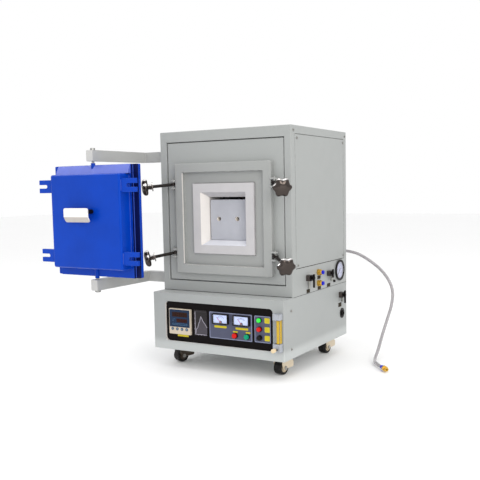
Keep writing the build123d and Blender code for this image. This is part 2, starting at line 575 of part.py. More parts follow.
# ================================================================ door
with BuildPart() as door_shell:
    bx(DX - DP_W / 2, DX + DP_W / 2, YD1, YD0, DZ - DP_H / 2, DZ + DP_H / 2)
    fillet(door_shell.edges().filter_by(Axis.Y), 5.0)
    bx(DX - DM_W / 2, DX + DM_W / 2, YD2, YD1, DZ - DP_H / 2, DZ + DP_H / 2)
    with BuildSketch(Plane.XZ.offset(-YD2)):
        with Locations((DX, DZ)):
            RectangleRounded(DB_W, DB_H, 8)
    extrude(amount=YD2 - YD3)
    fillet(door_shell.faces().sort_by(Axis.Y)[0].edges(), 7.0)
    for z0, z1 in ((DZ + DB_H / 2 - 4, 771.0), (349.0, DZ - DB_H / 2 + 4)):
        cyl_z(PX, PY, 8.0, z0, z1)
    # cavity and the opening through the plates
    bx(DX - DB_W / 2 + 3, DX + DB_W / 2 - 3, YD3 + 3, YD2, DZ - DB_H / 2 + 3, DZ + DB_H / 2 - 3, Mode.SUBTRACT)
    bx(DX - DI_W / 2, DX + DI_W / 2, YD2 - 1, YD0 + 1, DZ - DI_H / 2, DZ + DI_H / 2, Mode.SUBTRACT)
    # pivot holes
    cyl_z(PX, PY, PIN_R + FIT, 735.0, 772.0, Mode.SUBTRACT)
    cyl_z(PX, PY, PIN_R + FIT, 348.0, 385.0, Mode.SUBTRACT)
    # seal groove
    with BuildSketch(Plane.XZ.offset(-YD0)):
        with Locations((DX, DZ)):
            RectangleRounded(382, 382, 20)
            RectangleRounded(366, 366, 12, mode=Mode.SUBTRACT)
    extrude(amount=5, mode=Mode.SUBTRACT)
save(door_shell, "door_shell")

with BuildPart() as door_seal:
    with BuildSketch(Plane.XZ.offset(-(YD0 + 1.6))):
        with Locations((DX, DZ)):
            RectangleRounded(382, 382, 20)
            RectangleRounded(366, 366, 12, mode=Mode.SUBTRACT)
    extrude(amount=6.6)
save(door_seal, "door_seal")

with BuildPart() as door_insulation:
    bx(DX - DB_W / 2 + 3, DX + DB_W / 2 - 3, YD3 + 3, YD2, DZ - DB_H / 2 + 3, DZ + DB_H / 2 - 3)
    bx(DX - DI_W / 2, DX + DI_W / 2, YD2 - 1, YD0 + 4.5, DZ - DI_H / 2, DZ + DI_H / 2)
    fillet(door_insulation.faces().sort_by(Axis.Y)[-1].edges(), 3.0)
save(door_insulation, "door_insulation")

with BuildPart() as door_lugs:
    for s in (-1, 1):
        for t in (-1, 1):
            x0, x1 = sorted((DX + s * DB_W / 2, DX + s * LUG_X))
            zc = DZ + t * LUG_Z
            bx(x0, x1, LUG_Y, LUG_Y + LUG_T, zc - LUG_H / 2, zc + LUG_H / 2)
    fillet(door_lugs.edges().filter_by(Axis.Y), 2.0)
    for s in (-1, 1):
        for t in (-1, 1):
            zc = DZ + t * LUG_Z
            with BuildSketch(Plane.XZ.offset(-(LUG_Y + LUG_T + 1))):
                with Locations((DX + s * (LUG_X + 10), zc)):
                    Rectangle(2 * (LUG_X + 10 - 196.5), SLOT)
                with Locations((DX + s * 196.5, zc)):
                    Circle(SLOT / 2)
            extrude(amount=LUG_T + 2, mode=Mode.SUBTRACT)
save(door_lugs, "door_lugs")

HNX, HNZ0, HNZ1 = -428.5, 559.0, 610.0
with BuildPart() as door_handle:
    with BuildSketch(Plane.YZ.offset(HNX - 57.5)):
        with BuildLine():
            Polyline(
                (-521.5, HNZ1), (-521.5, 578.0), (-511.5, HNZ0), (-508.0, HNZ0 + 2.0), (-517.5, 579.2), (-517.5, HNZ1),
                close=True,
            )
        make_face()
    extrude(amount=115)
    with BuildSketch(Plane.XZ.offset(500)):
        with Locations((HNX, (HNZ0 + HNZ1) / 2)):
            RectangleRounded(115, HNZ1 - HNZ0, 7)
    extrude(amount=30, mode=Mode.INTERSECT)
    for s in (-1, 1):
        cyl_y(HNX + s * 48, 597.0, 8.0, -517.5, YD3)
save(door_handle, "door_handle")

# ================================================================ swing bolts and star knobs
for bn, (px, pz, al, de) in BOLTS.items():
    a, d = math.radians(al), math.radians(de)
    u = Vector(math.sin(a) * math.cos(d), -math.cos(a) * math.cos(d), -math.sin(d))
    n = Vector(math.tan(d) / math.sin(a), 0, 1).normalized()
    pv = Vector(px, YPV, pz)
    across = Plane(origin=pv, x_dir=n, z_dir=u)          # cross-sections of the rod
    flat = Plane(origin=pv, x_dir=u, z_dir=n)            # plane of the eye
    with BuildPart() as bolt:
        with BuildSketch(flat.offset(-5)):
            Circle(11)
        extrude(amount=10)
        with BuildSketch(across.offset(9)):
            Circle(ROD_R)
        extrude(amount=103)
        with BuildSketch(across.offset(75.5)):
            Circle(17)
        extrude(amount=4)
        with Locations(Location(pv)):
            Sphere(BALL_R + BALL_GAP, mode=Mode.SUBTRACT)
    save(bolt, "swing_bolt_" + bn)
    with BuildPart() as knob:
        with BuildSketch(across.offset(80)):
            Circle(10)
        extrude(amount=16)
        with BuildSketch(across.offset(95)):
            Circle(24)
            with PolarLocations(22.5, 6):
                Circle(9)
            with PolarLocations(27.5, 6, start_angle=30):
                Circle(6.2, mode=Mode.SUBTRACT)
        extrude(amount=22)
        with BuildSketch(across.offset(79)):
            Circle(ROD_R + FIT)
        extrude(amount=34, mode=Mode.SUBTRACT)
    save(knob, "star_knob_" + bn)

# ================================================================ casters
# Each is drawn trailing towards -Y, then turned about its king pin.
for cn, (cx, cy, sw) in CASTERS.items():
    ay = cy - TRAIL
    pin = Axis((cx, cy, 0), (0, 0, 1))
    with BuildPart() as fork:
        for x0 in (-20.5, 17.5):
            with BuildSketch(Plane.YZ.offset(cx + x0)):
                with BuildLine():
                    Polyline(
                        (ay - 17, 40), (ay - 14, 50), (ay - 8, 55), (cy + 17, 55), (cy + 17, 50), (cy + 23, 47),
                        (cy + 26, 43), (cy + 26, 27), (cy + 23, 23), (ay + 10, 21), (ay + 6, 15), (ay - 6, 15),
                        (ay - 11, 20), close=True,
                    )
                make_face()
            extrude(amount=3)
        bx(cx - 20.5, cx + 20.5, ay - 8, cy + 17, 51, 55)
        cyl_z(cx, cy, 14.0, 51.0, 63.7)
        cyl_z(cx, cy, PIN_R + FIT, 50.0, 64.0, Mode.SUBTRACT)
        cyl_x(ay, WHEEL_R, 4.0, cx - 23, cx + 23)
        with BuildSketch(Plane.YZ.offset(cx + 20.5)):
            with Locations((ay, WHEEL_R)):
                RegularPolygon(7.5, 6)
        extrude(amount=4)
        cyl_x(ay, WHEEL_R, 6.5, cx - 23.5, cx - 20.5)
    turned = fork.part.rotate(pin, sw)
    turned.label = "caster_fork_" + cn
    export_step(turned, "parts/caster_fork_" + cn + ".step")
    with BuildPart() as wheel:
        cyl_x(ay, WHEEL_R, WHEEL_R, cx - WHEEL_W / 2, cx + WHEEL_W / 2)
        fillet(wheel.edges().filter_by(GeomType.CIRCLE), 3.0)
        cyl_x(ay, WHEEL_R, 16.0, cx + 12.5, cx + 17, Mode.SUBTRACT)
        cyl_x(ay, WHEEL_R, 16.0, cx - 17, cx - 12.5, Mode.SUBTRACT)
        cyl_x(ay, WHEEL_R, 7.0, cx - 16, cx + 16)
        cyl_x(ay, WHEEL_R, 4.05, cx - 20, cx + 20, Mode.SUBTRACT)
    turned = wheel.part.rotate(pin, sw)
    turned.label = "caster_wheel_" + cn
    export_step(turned, "parts/caster_wheel_" + cn + ".step")

# ================================================================ screws, power unit, hose
SCREWS_X = [(y, z) for y in (-164.0, 243.0) for z in (842.0, 395.0)]
with BuildPart() as casing_screws:
    for s in (-1, 1):
        for y, z in [(-222.0, 241.0), (-222.0, 105.0), (-191.0, 868.0), (262.0, 868.0)]:
            a, b = sorted((s * W / 2, s * (W / 2 + 2.2)))
            cyl_x(y, z, 4.5, a, b)
        for y, z in SCREWS_X:
            a, b = sorted((s * W / 2, s * (W / 2 + 2.2)))
            cyl_x(y, z, 4.5, a, b)
    for x in (-228.0, 228.0):
        for z in (452.0, 838.0):
            cyl_y(x, z, 4.5, YB, YB + 2.2)
save(casing_screws, "casing_screws")

with BuildPart() as power_unit:
    bx(-130, 90, -60, 130, 72, 78)
    bx(-110, 70, -40, 110, 78, 205)
    bx(-60, 20, -48, 118, 100, 185)
save(power_unit, "power_unit")

HV = [Vector(*p) for p in HOSE]
radii = []
for i in range(1, len(HV) - 1):
    a, b = HV[i] - HV[i - 1], HV[i + 1] - HV[i]
    t = math.radians(a.get_angle(b))
    radii.append(0.45 * min(a.length, b.length) / math.tan(t / 2))
print("hose radii", [round(r, 1) for r in radii], "runs", [round((HV[i + 1] - HV[i]).length, 1) for i in range(len(HV) - 1)])
with BuildPart() as vacuum_hose:
    with BuildLine() as route:
        FilletPolyline(*HOSE, radius=radii)
    hose_len = route.wires()[0].length
    with BuildSketch(Plane(origin=HV[0], z_dir=HV[1] - HV[0])):
        Circle(HOSE_D / 2)
    sweep(path=route.wires()[0])
print("hose length", round(hose_len, 1), "volume / section", round(vacuum_hose.part.volume / (math.pi * HOSE_D**2 / 4), 1))
save(vacuum_hose, "vacuum_hose")

end_dir = (HV[-1] - HV[-2]).normalized()
end_plane = Plane(origin=HV[-1], z_dir=end_dir)
with BuildPart() as hose_fitting:
    with BuildSketch(end_plane):
        Circle(7.5)
    extrude(amount=14)
    with BuildSketch(end_plane.offset(14)):
        Circle(8.0)
    extrude(amount=5)
    with BuildSketch(end_plane.offset(19)):
        RegularPolygon(11.0, 6, rotation=30)
    extrude(amount=10)
    with BuildSketch(end_plane.offset(29)):
        Circle(7.0)
    extrude(amount=12)
    with BuildSketch(end_plane.offset(25)):
        Circle(3.5)
    extrude(amount=20, mode=Mode.SUBTRACT)
save(hose_fitting, "hose_fitting")
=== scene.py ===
import bpy, bmesh, math, random
from mathutils import Vector, Matrix


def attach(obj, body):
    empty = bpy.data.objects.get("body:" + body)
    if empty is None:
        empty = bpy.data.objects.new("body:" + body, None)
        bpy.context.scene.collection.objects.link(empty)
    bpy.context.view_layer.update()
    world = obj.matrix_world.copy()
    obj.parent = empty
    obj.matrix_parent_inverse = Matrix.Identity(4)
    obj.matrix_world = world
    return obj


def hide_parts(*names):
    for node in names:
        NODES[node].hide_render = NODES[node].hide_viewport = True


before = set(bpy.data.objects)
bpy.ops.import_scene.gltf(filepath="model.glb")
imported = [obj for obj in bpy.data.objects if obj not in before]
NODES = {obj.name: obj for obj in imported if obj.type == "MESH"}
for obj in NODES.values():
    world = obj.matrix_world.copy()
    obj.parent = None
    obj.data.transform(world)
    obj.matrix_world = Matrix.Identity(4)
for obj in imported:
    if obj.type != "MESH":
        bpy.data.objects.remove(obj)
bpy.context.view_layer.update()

random.seed(7)
scene = bpy.context.scene


def lin(r, g, b):
    def f(c):
        c = c / 255.0
        return c / 12.92 if c <= 0.04045 else ((c + 0.055) / 1.055) ** 2.4
    return (f(r), f(g), f(b))


# ------------------------------------------------------------------ camera
YAW, PITCH, ROLL = math.radians(30.188), math.radians(5.576), math.radians(-1.0036)
fwd = Vector((-math.sin(YAW) * math.cos(PITCH), math.cos(YAW) * math.cos(PITCH), -math.sin(PITCH)))
r0 = Vector((math.cos(YAW), math.sin(YAW), 0.0))
u0 = r0.cross(fwd)
right = r0 * math.cos(ROLL) + u0 * math.sin(ROLL)
up = -r0 * math.sin(ROLL) + u0 * math.cos(ROLL)
cam_data = bpy.data.cameras.new("camera")
cam = bpy.data.objects.new("camera", cam_data)
scene.collection.objects.link(cam)
cam.matrix_world = Matrix((
    (right.x, up.x, -fwd.x, 1.4043),
    (right.y, up.y, -fwd.y, -2.4277),
    (right.z, up.z, -fwd.z, 0.6728),
    (0, 0, 0, 1),
))
cam_data.sensor_width = 36.0
cam_data.lens = 53.758
cam_data.shift_x = -0.0229
cam_data.shift_y = 0.0365
cam_data.clip_end = 100
scene.camera = cam

# ------------------------------------------------------------------ the vacuum hose
HOSE = [
    (226.0, 306.0, 409.0),
    (292.0, 306.0, 409.0),
    (366.0, 303.0, 376.0),
    (434.0, 298.0, 326.0),
    (474.0, 290.0, 264.0),
    (472.0, 279.0, 200.0),
    (456.0, 262.0, 136.0),
    (447.0, 232.0, 80.0),
    (448.0, 188.0, 34.0),
    (455.0, 130.0, 11.6),
    (478.0, 72.0, 11.6),
    (520.0, 30.0, 11.6),
]
curve = bpy.data.curves.new("vacuum_line", "CURVE")
curve.dimensions = "3D"
spline = curve.splines.new("NURBS")
spline.points.add(len(HOSE) - 1)
for p, q in zip(spline.points, HOSE):
    p.co = (q[0] / 1000, q[1] / 1000, q[2] / 1000, 1.0)
spline.order_u = 3
spline.use_endpoint_u = True
spline.resolution_u = 12
curve.bevel_depth = 0.006
curve.bevel_resolution = 6
curve.use_fill_caps = True
hose = bpy.data.objects.new("vacuum_line", curve)
scene.collection.objects.link(hose)


# ------------------------------------------------------------------ materials
def node(nt, kind, **kw):
    n = nt.nodes.new(kind)
    for k, v in kw.items():
        setattr(n, k, v)
    return n


def material(name, col, rough=0.5, metal=0.0, var=0.06, vscale=6.0, rvar=0.08, bump=0.1, bscale=500.0,
             bdist=0.0002, wear=0.0, wearcol=(0.7, 0.7, 0.7), coat=0.0, edge=0.0008, trans=0.0, ior=1.45,
             spec=0.5, sheen=0.0, emit=0.0, stretch=(1, 1, 1), dirt=0.0, dirtcol=(0.2, 0.19, 0.17), anis=0.0,
             tint=None, crough=0.12):
    m = bpy.data.materials.new(name)
    m.use_nodes = True
    nt = m.node_tree
    nt.nodes.clear()
    out = node(nt, "ShaderNodeOutputMaterial")
    b = node(nt, "ShaderNodeBsdfPrincipled")
    nt.links.new(b.outputs[0], out.inputs[0])
    tc = node(nt, "ShaderNodeTexCoord")
    mp = node(nt, "ShaderNodeMapping")
    mp.inputs["Scale"].default_value = stretch
    nt.links.new(tc.outputs["Object"], mp.inputs["Vector"])
    n1 = node(nt, "ShaderNodeTexNoise")
    n1.inputs["Scale"].default_value = vscale
    n1.inputs["Detail"].default_value = 6.0
    n1.inputs["Roughness"].default_value = 0.6
    nt.links.new(mp.outputs[0], n1.inputs["Vector"])
    mr = node(nt, "ShaderNodeMapRange")
    mr.inputs["From Min"].default_value = 0.3
    mr.inputs["From Max"].default_value = 0.7
    nt.links.new(n1.outputs["Fac"], mr.inputs["Value"])
    mix = node(nt, "ShaderNodeMix", data_type="RGBA")
    mix.inputs["A"].default_value = (*[c * (1 - var) for c in col], 1)
    mix.inputs["B"].default_value = (*[min(1.0, c * (1 + var)) for c in col], 1)
    nt.links.new(mr.outputs[0], mix.inputs["Factor"])
    colour = mix.outputs["Result"]
    # second, finer noise for the roughness
    n2 = node(nt, "ShaderNodeTexNoise")
    n2.inputs["Scale"].default_value = vscale * 9
    n2.inputs["Detail"].default_value = 4.0
    nt.links.new(mp.outputs[0], n2.inputs["Vector"])
    mr2 = node(nt, "ShaderNodeMapRange")
    mr2.inputs["From Min"].default_value = 0.25
    mr2.inputs["From Max"].default_value = 0.75
    mr2.inputs["To Min"].default_value = max(0.02, rough - rvar)
    mr2.inputs["To Max"].default_value = min(1.0, rough + rvar)
    nt.links.new(n2.outputs["Fac"], mr2.inputs["Value"])
    nt.links.new(mr2.outputs[0], b.inputs["Roughness"])
    bev = None
    if edge > 0:
        bev = node(nt, "ShaderNodeBevel", samples=4)
        bev.inputs["Radius"].default_value = edge
    if wear > 0:
        geo = node(nt, "ShaderNodeNewGeometry")
        bw = node(nt, "ShaderNodeBevel", samples=4)
        bw.inputs["Radius"].default_value = 0.0022
        dot = node(nt, "ShaderNodeVectorMath", operation="DOT_PRODUCT")
        nt.links.new(geo.outputs["True Normal"], dot.inputs[0])
        nt.links.new(bw.outputs[0], dot.inputs[1])
        inv = node(nt, "ShaderNodeMapRange")
        inv.inputs["From Min"].default_value = 0.995
        inv.inputs["From Max"].default_value = 0.90
        inv.inputs["To Min"].default_value = 0.0
        inv.inputs["To Max"].default_value = 1.0
        nt.links.new(dot.outputs["Value"], inv.inputs["Value"])
        nw = node(nt, "ShaderNodeTexNoise")
        nw.inputs["Scale"].default_value = 60.0
        nw.inputs["Detail"].default_value = 8.0
        nt.links.new(tc.outputs["Object"], nw.inputs["Vector"])
        rw = node(nt, "ShaderNodeMapRange")
        rw.inputs["From Min"].default_value = 0.45
        rw.inputs["From Max"].default_value = 0.62
        nt.links.new(nw.outputs["Fac"], rw.inputs["Value"])
        mul = node(nt, "ShaderNodeMath", operation="MULTIPLY")
        nt.links.new(inv.outputs[0], mul.inputs[0])
        nt.links.new(rw.outputs[0], mul.inputs[1])
        mul2 = node(nt, "ShaderNodeMath", operation="MULTIPLY")
        nt.links.new(mul.outputs[0], mul2.inputs[0])
        mul2.inputs[1].default_value = wear
        mw = node(nt, "ShaderNodeMix", data_type="RGBA")
        nt.links.new(mul2.outputs[0], mw.inputs["Factor"])
        nt.links.new(colour, mw.inputs["A"])
        mw.inputs["B"].default_value = (*wearcol, 1)
        colour = mw.outputs["Result"]
    if dirt > 0:
        nd = node(nt, "ShaderNodeTexNoise")
        nd.inputs["Scale"].default_value = vscale * 3.1
        nd.inputs["Detail"].default_value = 10.0
        nd.inputs["Roughness"].default_value = 0.75
        nt.links.new(tc.outputs["Object"], nd.inputs["Vector"])
        rd = node(nt, "ShaderNodeMapRange")
        rd.inputs["From Min"].default_value = 0.55
        rd.inputs["From Max"].default_value = 0.85
        rd.inputs["To Max"].default_value = dirt
        nt.links.new(nd.outputs["Fac"], rd.inputs["Value"])
        md = node(nt, "ShaderNodeMix", data_type="RGBA")
        nt.links.new(rd.outputs[0], md.inputs["Factor"])
        nt.links.new(colour, md.inputs["A"])
        md.inputs["B"].default_value = (*dirtcol, 1)
        colour = md.outputs["Result"]
    nt.links.new(colour, b.inputs["Base Color"])
    nb = node(nt, "ShaderNodeTexNoise")
    nb.inputs["Scale"].default_value = bscale
    nb.inputs["Detail"].default_value = 3.0
    nt.links.new(mp.outputs[0], nb.inputs["Vector"])
    bp = node(nt, "ShaderNodeBump")
    bp.inputs["Strength"].default_value = bump
    bp.inputs["Distance"].default_value = bdist
    nt.links.new(nb.outputs["Fac"], bp.inputs["Height"])
    if bev:
        nt.links.new(bev.outputs[0], bp.inputs["Normal"])
    nt.links.new(bp.outputs[0], b.inputs["Normal"])
    b.inputs["Metallic"].default_value = metal
    b.inputs["IOR"].default_value = ior
    b.inputs["Specular IOR Level"].default_value = spec
    b.inputs["Coat Weight"].default_value = coat
    b.inputs["Coat Roughness"].default_value = crough
    if tint:
        b.inputs["Specular Tint"].default_value = (*tint, 1)
    b.inputs["Transmission Weight"].default_value = trans
    if anis:
        b.inputs["Anisotropic"].default_value = anis
    if sheen:
        b.inputs["Sheen Weight"].default_value = sheen
    if emit:
        b.inputs["Emission Color"].default_value = (*col, 1)
        b.inputs["Emission Strength"].default_value = emit
    m.diffuse_color = (*col, 1)
    return m


def painted_foot_light(m, z0, z1, gain):
    """Painted light: lightens a paint towards the foot of the cabinet, full gain at z0, none at z1 (metres)."""
    nt = m.node_tree
    b = next(n for n in nt.nodes if n.type == "BSDF_PRINCIPLED")
    src = b.inputs["Base Color"].links[0].from_socket
    tc = node(nt, "ShaderNodeTexCoord")
    sx = node(nt, "ShaderNodeSeparateXYZ")
    nt.links.new(tc.outputs["Object"], sx.inputs[0])
    mr = node(nt, "ShaderNodeMapRange", interpolation_type="SMOOTHSTEP")
    mr.inputs["From Min"].default_value = z0
    mr.inputs["From Max"].default_value = z1
    mr.inputs["To Min"].default_value = gain
    mr.inputs["To Max"].default_value = 1.0
    nt.links.new(sx.outputs["Z"], mr.inputs["Value"])
    mul = node(nt, "ShaderNodeVectorMath", operation="SCALE")
    nt.links.new(src, mul.inputs[0])
    nt.links.new(mr.outputs[0], mul.inputs["Scale"])
    nt.links.new(mul.outputs[0], b.inputs["Base Color"])
    return m


def painted_reflection_metal(m, dark, light, z0, z1):
    """Painted reflection on polished metal: pale where it faces up, as under a high light, dark elsewhere."""
    nt = m.node_tree
    b = next(n for n in nt.nodes if n.type == "BSDF_PRINCIPLED")
    src = b.inputs["Base Color"].links[0].from_socket
    geo = node(nt, "ShaderNodeNewGeometry")
    sx = node(nt, "ShaderNodeSeparateXYZ")
    nt.links.new(geo.outputs["Normal"], sx.inputs[0])
    mr = node(nt, "ShaderNodeMapRange", interpolation_type="SMOOTHSTEP")
    mr.inputs["From Min"].default_value = z0
    mr.inputs["From Max"].default_value = z1
    nt.links.new(sx.outputs["Z"], mr.inputs["Value"])
    mx = node(nt, "ShaderNodeMix", data_type="RGBA")
    mx.inputs["A"].default_value = (*dark, 1)
    mx.inputs["B"].default_value = (*light, 1)
    nt.links.new(mr.outputs[0], mx.inputs["Factor"])
    mul = node(nt, "ShaderNodeMix", data_type="RGBA", blend_type="MULTIPLY")
    mul.inputs["Factor"].default_value = 0.35
    nt.links.new(mx.outputs["Result"], mul.inputs["A"])
    nt.links.new(src, mul.inputs["B"])
    nt.links.new(mul.outputs["Result"], b.inputs["Base Color"])
    return m


def window_material(name, tint=(0.97, 0.985, 1.0), gloss=0.04, rough=0.03):
    """A thin clear sheet: it lets light straight through and reflects a little."""
    m = bpy.data.materials.new(name)
    m.use_nodes = True
    nt = m.node_tree
    nt.nodes.clear()
    out = node(nt, "ShaderNodeOutputMaterial")
    tr = node(nt, "ShaderNodeBsdfTransparent")
    tr.inputs[0].default_value = (*tint, 1)
    gl = node(nt, "ShaderNodeBsdfGlossy")
    tc = node(nt, "ShaderNodeTexCoord")
    nz = node(nt, "ShaderNodeTexNoise")
    nz.inputs["Scale"].default_value = 70
    nt.links.new(tc.outputs["Object"], nz.inputs["Vector"])
    mr = node(nt, "ShaderNodeMapRange")
    mr.inputs["To Min"].default_value = rough
    mr.inputs["To Max"].default_value = rough + 0.06
    nt.links.new(nz.outputs["Fac"], mr.inputs["Value"])
    nt.links.new(mr.outputs[0], gl.inputs["Roughness"])
    fr = node(nt, "ShaderNodeLayerWeight")
    fr.inputs["Blend"].default_value = 0.15
    ad = node(nt, "ShaderNodeMath", operation="MULTIPLY_ADD")
    nt.links.new(fr.outputs["Facing"], ad.inputs[0])
    ad.inputs[1].default_value = 0.6
    ad.inputs[2].default_value = gloss
    mx = node(nt, "ShaderNodeMixShader")
    nt.links.new(ad.outputs[0], mx.inputs[0])
    nt.links.new(tr.outputs[0], mx.inputs[1])
    nt.links.new(gl.outputs[0], mx.inputs[2])
    nt.links.new(mx.outputs[0], out.inputs[0])
    return m


